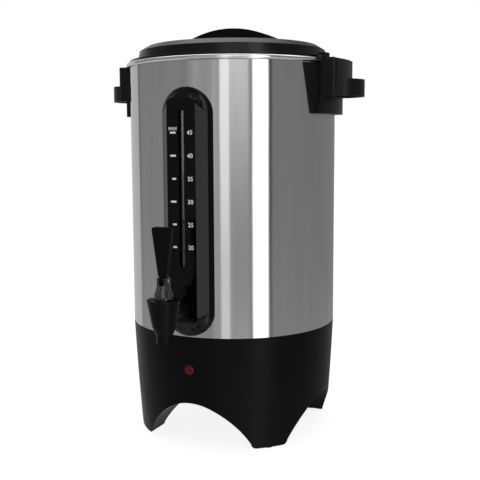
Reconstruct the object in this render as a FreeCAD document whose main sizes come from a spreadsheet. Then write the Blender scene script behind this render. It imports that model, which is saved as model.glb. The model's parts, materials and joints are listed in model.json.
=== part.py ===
import FreeCAD, Part
import math
import os
import Sketcher

# Coffee urn with a sight gauge, a lever tap and a percolator set.
# Millimetres. The origin is on the floor under the middle of the urn, +Z is up, the tap faces -Y
# and the handles stand on +X and -X.

DOC = FreeCAD.newDocument("CoffeeUrn")
SHEET = DOC.addObject("Spreadsheet::Sheet", "Sizes")

SIZES = (
    ("clearance", 0.1, "gap between assembled pieces of one body"),
    ("motion_gap", 0.3, "gap between pieces that move past each other"),
    ("running_gap", 0.05, "radial play of a shaft in its bore"),
    # Plastic base on four legs
    ("base_height", 120, "floor to the seam with the steel shell"),
    ("base_proud", 0.1, "base outside the shell at the seam"),
    ("base_taper", 7.3, "how far the base draws in towards the floor"),
    ("base_bulge_radius", 3200, "long curve of the base wall"),
    ("base_wall", 3, "moulded wall"),
    ("foot_lift", 1, "height of the moulded foot above the floor"),
    ("foot_round", 4.5, "rounding of a foot's corners"),
    ("arch_height", 48.5, "floor to the crown of an arch"),
    ("arch_crown_radius", 48, "upper stretch of an arch"),
    ("arch_crown_angle", 25, "half angle of the upper stretch"),
    ("arch_side_radius", 80, "lower stretches of an arch"),
    ("deck_width", 24.5, "top deck, from the shell inwards"),
    ("deck_ring_gap", 0.4, "room between the shell and the ring that centres it"),
    ("deck_ring_rise", 3, "height of that ring over the deck"),
    ("deck_ring_width", 3, "width of that ring"),
    ("seam_gap", 0.8, "shadow gap under the shell's lower edge"),
    ("cover_radius", 53.6, "bottom cover"),
    ("cover_thickness", 3, "bottom cover plate"),
    ("cover_ring_width", 8, "seat ring of the bottom cover"),
    ("cover_ring_height", 6, "height of that seat ring"),
    ("cover_vent_count", 12, "air slots in the bottom cover"),
    ("cover_vent_radius", 26, "middle of an air slot from the axis"),
    ("cover_vent_length", 16, "length of an air slot"),
    ("cover_vent_width", 4, "width of an air slot"),
    ("pad_inset", 6.6, "middle of a foot pad inside the base's foot circle"),
    ("pad_radius", 5.5, "rubber foot pad"),
    ("pad_height", 3, "rubber foot pad"),
    ("small_screw_radius", 1.5, "threaded shank"),
    ("overshoot", 1, "how far a cutting tool runs past the face that it cuts"),
    ("small_screw_head_width", 1.4, "pan head around the shank"),
    ("small_screw_head_height", 2, "pan head"),
    ("cover_screw_length", 7, "shank of a cover screw"),
    # Steel shell and tank
    ("shell_radius", 112.5, "outside of the steel shell"),
    ("shell_wall", 0.8, "sheet of the shell"),
    ("shell_height", 277, "steel shell"),
    ("wall_space", 10.5, "outside of the shell to the outside of the tank"),
    ("tank_wall", 0.8, "sheet of the tank"),
    ("tank_floor_rise", 2.6, "tank floor above the seam"),
    ("well_radius", 24, "heater well, outside"),
    ("well_depth", 12, "heater well under the floor"),
    ("rim_proud", 0.95, "middle of the rolled bead outside the shell"),
    ("rim_bead_radius", 2.45, "half the height of the rolled bead"),
    # Heaters and parts in the base
    ("perk_ring_space", 7, "middle of the percolating heater outside the well"),
    ("perk_tube_radius", 3, "that heater's tube"),
    ("warm_ring_space", 7, "middle of the keep-warm heater outside the thermostat"),
    ("warm_tube_radius", 2.6, "that heater's tube"),
    ("heater_pin_radius", 1.6, "cold end of a heater"),
    ("heater_pin_length", 10, "cold end of a heater"),
    ("heater_pin_spread", 4, "half distance of the two cold ends"),
    ("thermostat_radius", 9, "disc thermostat"),
    ("thermostat_height", 8, "disc thermostat"),
    ("thermostat_space", 3, "thermostat to the percolating heater"),
    ("tab_place", 5, "thermostat tabs from its middle"),
    ("tab_width", 4, "thermostat tab"),
    ("tab_thickness", 0.8, "thermostat tab"),
    ("tab_length", 6, "thermostat tab"),
    ("fuse_radius", 2.2, "thermal fuse"),
    ("fuse_length", 14, "thermal fuse"),
    ("shield_drop", 22, "heat shield under the seam"),
    ("shield_sheet", 0.8, "sheet of the heat shield"),
    ("shield_gap", 2, "dish of the heat shield inside the deck's opening"),
    ("shield_lip", 10, "flange of the heat shield under the deck"),
    ("tie_radius", 3, "tie rod that clamps the tank to the base"),
    ("tie_nut_width", 5.5, "tie nut, centre to corner"),
    ("tie_nut_height", 5, "tie nut"),
    ("tie_tail", 2, "rod beyond the nut"),
    ("block_length", 34, "terminal block"),
    ("block_width", 14, "terminal block"),
    ("block_height", 12, "terminal block"),
    ("block_place", 30, "terminal block behind the axis"),
    ("block_well_radius", 2, "screw well of the terminal block"),
    ("block_well_pitch", 10, "distance of the screw wells"),
    ("lamp_height", 84.9, "indicator light over the floor"),
    ("lamp_bore_radius", 4.2, "hole of the indicator light"),
    ("lens_radius", 5.2, "flange of the red lens"),
    ("lens_dome", 2.2, "how far the lens stands out"),
    ("lamp_radius", 2.6, "lamp behind the lens"),
    ("lamp_length", 12, "lamp behind the lens"),
    ("lens_tail", 2, "lens inside the base wall"),
    ("inlet_height", 85, "power inlet over the floor"),
    ("inlet_width", 32, "power inlet flange"),
    ("inlet_tall", 25, "power inlet flange"),
    ("inlet_depth", 24, "power inlet housing"),
    ("inlet_proud", 1.5, "flange in front of the base wall"),
    ("socket_width", 24, "recess of the inlet"),
    ("socket_tall", 17, "recess of the inlet"),
    ("socket_depth", 18, "recess of the inlet"),
    ("pin_length", 13, "contact pin"),
    ("pin_width", 4, "contact pin"),
    ("pin_thick", 2, "contact pin"),
    ("pin_pitch", 7, "sideways distance of the contact pins"),
    ("pin_drop", 2, "outer contact pins under the middle of the recess"),
    ("pin_rise", 3, "middle contact pin over the middle of the recess"),
    # Sight gauge
    ("gauge_crease_grow", 9.2, "crease beyond the flat face, sideways"),
    ("gauge_root_grow", 5.4, "sunk outline beyond the crease, sideways"),
    ("gauge_sink", 6.5, "sunk outline inside the shell"),
    ("gauge_crease_proud", 1.8, "crease in front of the shell"),
    ("gauge_mid_proud", 5.1, "hollow of the slope in front of the shell"),
    ("gauge_mid_grow", 4.6, "hollow of the slope beyond the flat face, sideways"),
    ("gauge_proud", 10.5, "flat face in front of the shell"),
    ("gauge_plate_half", 15.8, "half width of the flat face"),
    ("gauge_top_drop", 37, "flat face under the shell's upper edge"),
    ("gauge_lift", 17, "flat face above the seam"),
    ("gauge_plate_round", 5, "corner of the flat face"),
    ("gauge_mid_flat", 5.1, "half of the straight stretch at the ends of the hollow"),
    ("gauge_end_flat", 0.4, "half of the straight stretch at the housing's ends"),
    ("gauge_crease_rise", 11, "crease above the flat face"),
    ("gauge_root_rise", 14.2, "sunk outline above the flat face"),
    ("gauge_foot_drop", 15, "crease below the flat face"),
    ("gauge_root_drop", 20.5, "sunk outline below the flat face"),
    ("plate_thickness", 1.6, "inlaid gauge plate"),
    ("slot_half", 3.25, "half width of the slot"),
    ("slot_lift", 56.4, "lower end of the slot above the flat face's end"),
    ("slot_drop", 11, "upper end of the slot under the flat face's end"),
    ("glass_radius", 2.9, "sight tube"),
    ("glass_wall", 0.9, "sight tube"),
    ("glass_sink", 4.8, "middle of the sight tube behind the flat face"),
    ("glass_lift", 13, "lower end of the sight tube over the shank"),
    ("glass_rise", 4, "upper end of the sight tube over the slot"),
    ("seal_wall", 1, "seals of the sight tube"),
    ("seal_overlap", 5, "how far a seal grips the tube"),
    ("seal_end", 2, "seal beyond the tube's end"),
    ("gauge_screw_side", 10.5, "gauge screws from the middle"),
    ("gauge_screw_lift", 43, "lower gauge screws above the flat face's end"),
    ("gauge_screw_drop", 20, "upper gauge screws under the flat face's end"),
    ("gauge_screw_length", 7, "shank of a gauge screw"),
    # Tap
    ("tap_lift", 14, "middle of the shank above the flat face's end"),
    ("tap_stand", 39, "upright axis of the tap in front of the gauge"),
    ("shank_radius", 6.5, "shank"),
    ("shank_bore", 4, "waterway"),
    ("shank_tail", 7, "shank inside the tank's outside"),
    ("shank_overlap", 12, "shank inside the tap's barrel, short of its axis"),
    ("collar_radius", 13.5, "collar on the gauge plate"),
    ("collar_thickness", 4, "collar on the gauge plate"),
    ("gasket_thickness", 1.6, "shank gaskets"),
    ("gasket_radius", 10.5, "shank gaskets"),
    ("nut_width", 11.5, "shank nut, centre to corner"),
    ("nut_height", 4, "shank nut"),
    ("branch_wall", 1.6, "branch up to the sight tube"),
    ("branch_bore", 2, "branch up to the sight tube"),
    ("barrel_wall", 2.4, "barrel between shank and tap body"),
    ("tap_rise", 16.3, "top of the tap body over the shank"),
    ("tap_top_radius", 16.7, "rim of the tap body"),
    ("tap_waist_drop", 10, "where the body has tapered, under the shank"),
    ("tap_waist_radius", 11.7, "where the body has tapered"),
    ("tap_neck_drop", 18, "top of the spout under the shank"),
    ("tap_neck_radius", 8.2, "top of the spout"),
    ("spout_length", 8.6, "spout"),
    ("spout_radius", 7.4, "outside of the outlet"),
    ("spout_bore", 4.6, "outlet"),
    ("seat_drop", 1, "valve seat under the top of the spout"),
    ("chamber_space", 1.1, "room around the seat cup"),
    ("bonnet_thread_radius", 9, "screwed part of the bonnet"),
    ("bonnet_thread_length", 9.1, "screwed part of the bonnet"),
    ("bonnet_flange_width", 0.6, "flange of the bonnet"),
    ("bonnet_flange_height", 3.2, "flange of the bonnet"),
    ("bonnet_chamfer", 0.8, "upper edge of that flange"),
    ("bonnet_cone_radius", 8.8, "foot of the bonnet's cone"),
    ("bonnet_neck_radius", 5.6, "top of the bonnet's cone"),
    ("bonnet_rise", 14.2, "top of the bonnet over the tap body"),
    ("bonnet_cavity_space", 0.5, "room around the stem's head"),
    ("bonnet_rib_count", 14, "ribs around the bonnet"),
    ("bonnet_rib_radius", 0.9, "ribs around the bonnet"),
    ("ear_thickness", 2.5, "bonnet's ears"),
    ("ear_wall", 2.5, "bonnet's ears, around the pin"),
    ("lever_pin_rise", 4.5, "lever pin over the bonnet"),
    ("pin_radius", 1.5, "lever pin"),
    ("lever_heel_half", 2.4, "half width of the lever's heel"),
    ("lever_heel_wall", 1.9, "lever's heel, around the pin"),
    ("lever_neck_half", 4.4, "half width of the lever's neck"),
    ("lever_top_half", 10.7, "half width of the lever's top"),
    ("lever_length", 51.4, "lever above its pin"),
    ("lever_round", 2.5, "upper corners of the lever"),
    ("lever_half_thickness", 3, "lever"),
    ("stem_radius", 2.4, "valve stem"),
    ("stem_sink", 5, "stem's end over the valve seat, sunk in the cup"),
    ("stem_drop", 5, "stem's head under the top of the bonnet"),
    ("stem_head_width", 1.5, "head of the stem around the stem"),
    ("stem_head_height", 2, "head of the stem"),
    ("cup_radius", 5.9, "rubber seat cup"),
    ("cup_height", 9, "rubber seat cup"),
    ("cup_chamfer", 2, "upper edge of the seat cup"),
    ("spring_wall", 1.8, "sleeve of the spring"),
    # Handles
    ("wing_top_half", 50.8, "half width of the wing at its top"),
    ("wing_bottom_half", 40.9, "half width of the wing at its bottom"),
    ("wing_thickness", 2.2, "wing against the shell"),
    ("rib_top_half", 44.2, "half width inside the rib, top"),
    ("rib_bottom_half", 33.8, "half width inside the rib, bottom"),
    ("rib_thickness", 4.2, "plate inside the rib"),
    ("wing_drop", 1, "upper edge of the wing under the shell's upper edge"),
    ("wing_height", 50.5, "wing"),
    ("bracket_proud", 8.5, "lower block of the bracket in front of the shell"),
    ("grip_drop", 33, "underside of the grip under the wing's upper edge"),
    ("grip_height", 17.5, "outer part of the grip"),
    ("grip_rise", 5, "top of the handle over the wing"),
    ("grip_inner_proud", 19, "outer face of the upper part in front of the shell"),
    ("grip_inner_half", 31, "half width of the upper part"),
    ("grip_inner_round", 5, "corners of the upper part"),
    ("grip_half", 30, "half width and end radius of the outer part"),
    ("grip_centre_proud", 6.3, "middle of the outer part's end radius, from the shell"),
    ("grip_wall", 3.4, "wall around the finger hollow"),
    ("grip_web_proud", 11, "finger hollow's inner limit, from the shell"),
    ("handle_screw_lift", 8.5, "lower handle screw over the wing's lower edge"),
    ("handle_screw_drop", 10, "upper handle screw under the wing's upper edge"),
    ("handle_screw_radius", 2, "handle screw"),
    ("handle_screw_head_width", 2, "head of a handle screw around its shank"),
    ("handle_screw_head_height", 2.5, "handle screw"),
    ("handle_screw_length", 8, "shank of a handle screw"),
    ("hook_angle", 13.3, "lid hook from the handle's middle"),
    ("hook_half_angle", 2.3, "half width of the lid hook"),
    ("hook_post_gap", 0.6, "room between a lug and the hook's post"),
    ("hook_post_thickness", 2.9, "hook's post"),
    ("hook_flange_gap", 0.9, "inner end of the hook outside the lid's flange"),
    ("hook_gap", 0.5, "room between a lug and the hook over it"),
    ("hook_thickness", 1.7, "hook"),
    # Lid
    ("gasket_inset", 2, "lid gasket outside the tank wall"),
    ("gasket_gap", 0.4, "lid gasket inside the rolled bead"),
    ("gasket_height", 2.55, "lid gasket"),
    ("lid_flange_inset", 0.5, "flange of the lid inside the shell's outside"),
    ("lid_flange_height", 1.7, "flange of the lid"),
    ("lid_wall_proud", 1.5, "foot of the lid's wall outside the tank"),
    ("lid_wall_draft", 1.9, "how far the lid's wall leans in"),
    ("lid_wall_height", 9.2, "lid's wall above its flange"),
    ("lid_groove", 0.7, "groove over the lid's wall"),
    ("lid_shoulder_width", 8.6, "lid's shoulder, from the wall inwards"),
    ("lid_shoulder_rise", 6, "lid's shoulder above the wall"),
    ("lid_crown_beyond", 5, "flat crown beyond the grip's ends"),
    ("lid_crown_rise", 2, "flat crown above the shoulder"),
    ("lid_dish_within", 11, "edge of the dish within the grip's ends"),
    ("lid_dish_slope", 5, "slope of the dish's wall"),
    ("lid_dish_depth", 9.1, "dish under the crown"),
    ("lid_sheet", 2.4, "moulded wall of the lid"),
    ("lid_spigot_gap", 1, "ring that enters the tank, inside its wall"),
    ("lid_spigot_depth", 5.55, "that ring under the middle of the rim"),
    ("lid_vent_count", 6, "steam holes"),
    ("lid_vent_radius", 1.5, "steam hole"),
    ("lid_vent_place", 34, "steam holes from the axis"),
    ("lug_length", 6, "lid lug beyond the flange"),
    ("lug_half_angle", 2.6, "half width of a lid lug"),
    ("arch_grip_rise", 17.6, "top of the lid's grip over the crown"),
    ("arch_grip_radius", 115, "curve of the lid's grip"),
    ("arch_grip_thickness", 5.5, "lid's grip over its feet"),
    ("arch_grip_depth", 10.2, "lid's grip at its middle"),
    ("arch_grip_half", 11, "half width of the lid's grip"),
    ("arch_grip_foot", 12, "length of the grip's feet"),
    ("lid_screw_within", 5, "lid screws within the grip's ends"),
    ("lid_screw_length", 6.5, "shank of a lid screw"),
    # Percolator
    ("perk_stem_radius", 6, "pump tube"),
    ("perk_stem_wall", 0.8, "pump tube"),
    ("perk_stem_rise", 10, "pump tube above the basket"),
    ("pump_disc_gap", 1.2, "pump disc inside the well"),
    ("pump_disc_height", 2.6, "rim of the pump disc"),
    ("pump_cone_height", 12, "cone on the pump disc"),
    ("pump_cone_width", 4, "foot of that cone around the pump tube"),
    ("pump_cone_tip", 1.5, "wall at the top of that cone"),
    ("pump_rim_width", 2, "rim under the pump disc"),
    ("pump_rim_depth", 1, "rim under the pump disc"),
    ("basket_height", 77.3, "brew basket"),
    ("basket_collar_width", 5, "collar around the pump tube"),
    ("basket_collar_thickness", 1.6, "collar under the basket"),
    ("basket_radius", 66, "brew basket"),
    ("basket_drop", 15, "basket under the shell's upper edge"),
    ("basket_sheet", 0.8, "sheet of the basket"),
    ("basket_hole_radius", 1.5, "holes of the basket"),
    ("basket_hole_count", 20, "holes in a row of the basket"),
    ("basket_row_inner", 25, "inner row of holes"),
    ("basket_row_outer", 50, "outer row of holes"),
    ("spreader_skirt", 4, "edge of the spreader"),
    ("spreader_gap", 0.3, "spreader over the basket's edge"),
)

for row, (alias, amount, meaning) in enumerate(SIZES, start=1):
    SHEET.set(f"A{row}", meaning)
    SHEET.set(f"B{row}", str(amount))
    SHEET.setAlias(f"B{row}", alias)
DOC.recompute()


class Size:
    """A length or angle: its number, and the sheet expression that gives the number."""

    def __init__(self, text, value):
        self.text = text
        self.value = float(value)

    def __add__(self, other):
        other = size(other)
        return Size(f"({self.text} + {other.text})", self.value + other.value)

    def __sub__(self, other):
        other = size(other)
        return Size(f"({self.text} - {other.text})", self.value - other.value)

    def __mul__(self, other):
        other = size(other)
        return Size(f"({self.text} * {other.text})", self.value * other.value)

    def __truediv__(self, other):
        other = size(other)
        return Size(f"({self.text} / {other.text})", self.value / other.value)

    def __radd__(self, other):
        return size(other) + self

    def __rsub__(self, other):
        return size(other) - self

    def __neg__(self):
        return Size(f"(0 - {self.text})", -self.value)


def size(amount):
    if isinstance(amount, Size):
        return amount
    return Size(repr(float(amount)), amount)


def sine(angle):
    return Size(f"sin({angle.text})", math.sin(math.radians(angle.value)))


def cosine(angle):
    return Size(f"cos({angle.text})", math.cos(math.radians(angle.value)))


def square_root(amount):
    return Size(f"sqrt({amount.text})", math.sqrt(amount.value))


def leg(hypotenuse, other):
    """The other short side of a right triangle."""
    return square_root(hypotenuse * hypotenuse - other * other)


class SizeNames:
    """The sheet's sizes, each read by its name."""

    def __getattr__(self, alias):
        return Size(f"Sizes.{alias}", SHEET.get(alias))


S = SizeNames()

# Places that follow from the sizes above
S.base_top_radius = S.shell_radius + S.base_proud
S.base_foot_radius = S.base_top_radius - S.base_taper
S.deck_opening_radius = S.shell_radius - S.deck_width
S.deck_ring_radius = S.shell_radius - S.shell_wall - S.deck_ring_gap
S.pad_place = (S.base_foot_radius - S.pad_inset) / square_root(size(2))
S.small_screw_head_radius = S.small_screw_radius + S.small_screw_head_width

S.shell_top = S.base_height + S.shell_height
S.tank_radius = S.shell_radius - S.wall_space
S.tank_floor = S.base_height + S.tank_floor_rise
S.rim_radius = S.shell_radius + S.rim_proud
S.rim_height = S.shell_top + S.rim_bead_radius + S.clearance

S.perk_ring_radius = S.well_radius + S.perk_ring_space
S.thermostat_place = S.perk_ring_radius + S.perk_tube_radius + S.thermostat_space + S.thermostat_radius
S.warm_ring_radius = S.thermostat_place + S.thermostat_radius + S.warm_ring_space
S.shield_height = S.base_height - S.shield_drop
S.shield_radius = S.deck_opening_radius - S.shield_gap
S.shield_flange = S.deck_opening_radius + S.shield_lip

S.gauge_plate_top = S.shell_top - S.gauge_top_drop
S.gauge_plate_bottom = S.base_height + S.gauge_lift
S.gauge_mid_half = S.gauge_plate_half + S.gauge_mid_grow
S.gauge_mid_round = S.gauge_mid_half - S.gauge_mid_flat
S.gauge_crease_half = S.gauge_plate_half + S.gauge_crease_grow
S.gauge_root_half = S.gauge_crease_half + S.gauge_root_grow
S.gauge_root_depth = S.shell_radius - S.gauge_sink
S.gauge_crease_depth = S.shell_radius + S.gauge_crease_proud
S.gauge_mid_depth = S.shell_radius + S.gauge_mid_proud
S.gauge_face_depth = S.shell_radius + S.gauge_proud
S.slot_bottom = S.gauge_plate_bottom + S.slot_lift
S.slot_top = S.gauge_plate_top - S.slot_drop
S.gauge_screw_low = S.gauge_plate_bottom + S.gauge_screw_lift
S.gauge_screw_high = S.gauge_plate_top - S.gauge_screw_drop

S.tap_height = S.gauge_plate_bottom + S.tap_lift
S.tap_reach = S.gauge_face_depth + S.tap_stand
S.glass_depth = S.gauge_face_depth - S.glass_sink
S.glass_bottom = S.tap_height + S.glass_lift
S.glass_top = S.slot_top + S.glass_rise
S.seal_radius = S.glass_radius + S.seal_wall
S.shank_inside = S.tank_radius - S.shank_tail
S.branch_radius = S.branch_bore + S.branch_wall
S.barrel_radius = S.shank_radius + S.clearance + S.barrel_wall
S.tap_top = S.tap_height + S.tap_rise
S.tap_waist_height = S.tap_height - S.tap_waist_drop
S.tap_neck_height = S.tap_height - S.tap_neck_drop
S.spout_bottom = S.tap_neck_height - S.spout_length
S.seat_height = S.tap_neck_height - S.seat_drop
S.chamber_radius = S.cup_radius + S.chamber_space
S.bonnet_thread_bottom = S.tap_top - S.bonnet_thread_length
S.bonnet_flange_radius = S.bonnet_thread_radius + S.bonnet_flange_width
S.bonnet_neck_height = S.tap_top + S.bonnet_rise
S.stem_head_radius = S.stem_radius + S.stem_head_width
S.bonnet_cavity_radius = S.stem_head_radius + S.bonnet_cavity_space
S.pin_height = S.bonnet_neck_height + S.lever_pin_rise
S.lever_heel_radius = S.pin_radius + S.lever_heel_wall
S.ear_radius = S.pin_radius + S.ear_wall
S.lever_top = S.pin_height + S.lever_length
S.stem_bottom = S.seat_height + S.stem_sink
S.stem_top = S.bonnet_neck_height - S.stem_drop
S.spring_radius = S.stem_radius + S.motion_gap + S.spring_wall

S.wing_top = S.shell_top - S.wing_drop
S.wing_bottom = S.wing_top - S.wing_height
S.bracket_radius = S.shell_radius + S.bracket_proud
S.grip_bottom = S.wing_top - S.grip_drop
S.grip_step = S.grip_bottom + S.grip_height
S.grip_top = S.wing_top + S.grip_rise
S.grip_inner_radius = S.shell_radius + S.grip_inner_proud
S.grip_centre = S.shell_radius + S.grip_centre_proud
S.grip_web = S.shell_radius + S.grip_web_proud
S.handle_screw_low = S.wing_bottom + S.handle_screw_lift
S.handle_screw_high = S.wing_top - S.handle_screw_drop
S.handle_screw_head_radius = S.handle_screw_radius + S.handle_screw_head_width

S.gasket_seat = S.rim_height + S.tank_wall / 2 + S.clearance
S.gasket_top = S.gasket_seat + S.gasket_height
S.gasket_inside = S.tank_radius + S.gasket_inset
S.gasket_outside = S.rim_radius - S.rim_bead_radius - S.gasket_gap
S.lid_flange_bottom = S.gasket_top + S.clearance
S.lid_flange_top = S.lid_flange_bottom + S.lid_flange_height
S.lid_flange_radius = S.shell_radius - S.lid_flange_inset
S.lid_wall_radius = S.tank_radius + S.lid_wall_proud
S.lid_wall_top_radius = S.lid_wall_radius - S.lid_wall_draft
S.lid_wall_top = S.lid_flange_top + S.lid_wall_height
S.lid_shoulder_radius = S.lid_wall_top_radius - S.lid_shoulder_width
S.lid_shoulder_height = S.lid_wall_top + S.lid_shoulder_rise
S.lid_crown_height = S.lid_shoulder_height + S.lid_crown_rise
S.arch_grip_height = S.lid_crown_height + S.arch_grip_rise
S.arch_grip_end = leg(S.arch_grip_radius, S.arch_grip_radius + S.clearance - S.arch_grip_rise)
S.lid_crown_radius = S.arch_grip_end + S.lid_crown_beyond
S.lid_dish_rim = S.arch_grip_end - S.lid_dish_within
S.lid_dish_radius = S.lid_dish_rim - S.lid_dish_slope
S.lid_dish_height = S.lid_crown_height - S.lid_dish_depth
S.lid_screw_place = S.arch_grip_end - S.lid_screw_within
S.lid_spigot_radius = S.tank_radius - S.tank_wall - S.lid_spigot_gap
S.lid_spigot_bottom = S.rim_height - S.lid_spigot_depth
S.lug_radius = S.lid_flange_radius + S.lug_length
S.hook_post_radius = S.lug_radius + S.hook_post_gap
S.hook_inside_radius = S.lid_flange_radius + S.hook_flange_gap
S.hook_under = S.lid_flange_top + S.hook_gap
S.hook_top = S.hook_under + S.hook_thickness

S.basket_top = S.shell_top - S.basket_drop
S.basket_bottom = S.basket_top - S.basket_height
S.collar_height = S.basket_bottom - S.clearance - S.basket_collar_thickness
S.basket_collar_radius = S.perk_stem_radius + S.basket_collar_width
S.perk_stem_top = S.basket_top + S.perk_stem_rise
S.pump_disc_radius = S.well_radius - S.tank_wall - S.pump_disc_gap
S.pump_cone_radius = S.perk_stem_radius + S.pump_cone_width

PARTS = []


def bind(thing, prop, amount):
    amount = size(amount)
    thing.setExpression(prop, amount.text)


def place(thing, x=0, y=0, z=0):
    """Bind where a primitive stands."""
    for axis, amount in (("x", x), ("y", y), ("z", z)):
        bind(thing, f".Placement.Base.{axis}", amount)
    return thing


TURNS = {
    "+Z": FreeCAD.Rotation(),
    "-Z": FreeCAD.Rotation(FreeCAD.Vector(1, 0, 0), 180),
    "+X": FreeCAD.Rotation(FreeCAD.Vector(0, 1, 0), 90),
    "-X": FreeCAD.Rotation(FreeCAD.Vector(0, 1, 0), -90),
    "+Y": FreeCAD.Rotation(FreeCAD.Vector(1, 0, 0), -90),
    "-Y": FreeCAD.Rotation(FreeCAD.Vector(1, 0, 0), 90),
}


def rod(radius, length, x=0, y=0, z=0, along="+Z"):
    """A round bar from a point along a row axis."""
    bar = DOC.addObject("Part::Cylinder", "Rod")
    bar.Placement = FreeCAD.Placement(FreeCAD.Vector(), TURNS[along])
    bind(bar, "Radius", radius)
    bind(bar, "Height", length)
    return place(bar, x, y, z)


def block(x_low, x_high, y_low, y_high, z_low, z_high):
    """A box between six planes."""
    bar = DOC.addObject("Part::Box", "Block")
    bind(bar, "Length", size(x_high) - x_low)
    bind(bar, "Width", size(y_high) - y_low)
    bind(bar, "Height", size(z_high) - z_low)
    return place(bar, x_low, y_low, z_low)


def ring(ring_radius, tube_radius, x=0, y=0, z=0):
    """A round ring lying flat."""
    torus = DOC.addObject("Part::Torus", "Ring")
    bind(torus, "Radius1", ring_radius)
    bind(torus, "Radius2", tube_radius)
    return place(torus, x, y, z)


def hexagon(corner_radius, height, x=0, y=0, z=0, along="+Z"):
    """A six-sided bar, as a nut has."""
    bar = DOC.addObject("Part::Prism", "Hexagon")
    bar.Polygon = 6
    bar.Placement = FreeCAD.Placement(FreeCAD.Vector(), TURNS[along])
    bind(bar, "Circumradius", corner_radius)
    bind(bar, "Height", height)
    return place(bar, x, y, z)


def fuse(*things):
    joined = DOC.addObject("Part::MultiFuse", "Joined")
    joined.Shapes = list(things)
    return joined


def cut(base, *tools):
    """Base without the tools."""
    left = DOC.addObject("Part::Cut", "Left")
    left.Base = base
    left.Tool = tools[0] if len(tools) == 1 else fuse(*tools)
    return left


def common(first, second):
    shared = DOC.addObject("Part::Common", "Shared")
    shared.Base = first
    shared.Tool = second
    return shared


def group(*things):
    """Separate like solids in one node."""
    together = DOC.addObject("Part::Compound", "Group")
    together.Links = list(things)
    return together


def part(label, thing):
    """Name a finished sub-part."""
    thing.Label = label
    PARTS.append(thing)
    return thing


def straight(u, v):
    return ("line", size(u), size(v), None, None)


def bend(u, v, radius, turn):
    """An arc to (u, v); turn is 1 for anticlockwise and -1 for clockwise."""
    return ("arc", size(u), size(v), size(radius), turn)


def arc_centre(start, end, radius, turn):
    """Centre of the short arc from start to end."""
    du, dv = end[0] - start[0], end[1] - start[1]
    chord = math.hypot(du, dv)
    rise = math.sqrt(max(radius * radius - chord * chord / 4, 0))
    return (
        (start[0] + end[0]) / 2 - turn * rise * dv / chord,
        (start[1] + end[1]) / 2 + turn * rise * du / chord,
    )


def draw(sketch, start, steps):
    """A closed outline; every corner and radius is bound to the sheet."""
    corners = [(size(start[0]), size(start[1]))] + [(s[1], s[2]) for s in steps]
    closing = math.dist([c.value for c in corners[0]], [c.value for c in corners[-1]])
    if closing > 1e-6:
        steps = list(steps) + [straight(*corners[0])]
    else:
        corners.pop()
    ends = []
    for number, (kind, u, v, radius, turn) in enumerate(steps):
        a = tuple(c.value for c in corners[number])
        b = (u.value, v.value)
        if kind == "line":
            edge = Part.LineSegment(FreeCAD.Vector(*a, 0), FreeCAD.Vector(*b, 0))
            ends.append((sketch.addGeometry(edge, False), 1, 2))
            continue
        middle = arc_centre(a, b, radius.value, turn)
        circle = Part.Circle(FreeCAD.Vector(*middle, 0), FreeCAD.Vector(0, 0, 1), radius.value)
        first, last = (a, b) if turn > 0 else (b, a)
        low, high = (math.atan2(p[1] - middle[1], p[0] - middle[0]) for p in (first, last))
        index = sketch.addGeometry(Part.ArcOfCircle(circle, low, high), False)
        ends.append((index, 1, 2) if turn > 0 else (index, 2, 1))
        bound = sketch.addConstraint(Sketcher.Constraint("Radius", index, radius.value))
        sketch.setExpression(f"Constraints[{bound}]", radius.text)
    for number, (index, head, tail) in enumerate(ends):
        before, _, before_tail = ends[number - 1]
        sketch.addConstraint(Sketcher.Constraint("Coincident", before, before_tail, index, head))
        for kind, amount in zip(("DistanceX", "DistanceY"), corners[number]):
            bound = sketch.addConstraint(Sketcher.Constraint(kind, -1, 1, index, head, amount.value))
            sketch.setExpression(f"Constraints[{bound}]", amount.text)
    return sketch


PLANES = {
    "XY": FreeCAD.Rotation(),
    "XZ": FreeCAD.Rotation(FreeCAD.Vector(1, 0, 0), 90),
    "YZ": FreeCAD.Rotation(FreeCAD.Vector(1, 1, 1), 120),
}


def outline(plane, start, steps, offset=None):
    """A free sketch on a row plane; offset is along the plane's missing axis."""
    sketch = DOC.addObject("Sketcher::SketchObject", "Outline")
    sketch.Placement = FreeCAD.Placement(FreeCAD.Vector(), PLANES[plane])
    if offset is not None:
        missing = {"XY": "z", "XZ": "y", "YZ": "x"}[plane]
        bind(sketch, f".Placement.Base.{missing}", offset)
    return draw(sketch, start, steps)


def slab(plane, start, steps, low, high):
    """An outline extruded from low to high along the plane's missing axis."""
    sketch = outline(plane, start, steps)
    solid = DOC.addObject("Part::Extrusion", "Slab")
    solid.Base = sketch
    solid.DirMode = "Custom"
    solid.Dir = {"XY": (0, 0, 1), "XZ": (0, 1, 0), "YZ": (1, 0, 0)}[plane]
    bind(solid, "LengthFwd", high)
    bind(solid, "LengthRev", -size(low))
    solid.Solid = True
    return solid


def turned(start, steps):
    """A solid of revolution about Z from its half section (radius, height)."""
    sketch = outline("XZ", start, steps)
    solid = DOC.addObject("Part::Revolution", "Turned")
    solid.Source = sketch
    solid.Axis = (0, 0, 1)
    solid.Angle = 360
    solid.Solid = True
    return solid


def lathe(label, start, steps):
    """A body made by one revolution about Z of its half section."""
    body = DOC.addObject("PartDesign::Body", "Body")
    sketch = body.newObject("Sketcher::SketchObject", "Section")
    sketch.AttachmentSupport = (origin_plane(body, "XZ_Plane"), "")
    sketch.MapMode = "FlatFace"
    draw(sketch, start, steps)
    feature = body.newObject("PartDesign::Revolution", "Turn")
    feature.Profile = sketch
    feature.ReferenceAxis = (sketch, ["V_Axis"])
    feature.Angle = 360
    body.Tip = feature
    return part(label, body) if label else body


def origin_plane(body, role):
    return next(o for o in body.Origin.OriginFeatures if o.Role == role)


def tube(outer, inner, low, high):
    """Steps of a plain ring's half section."""
    return (inner, low), [straight(outer, low), straight(outer, high), straight(inner, high)]


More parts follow.
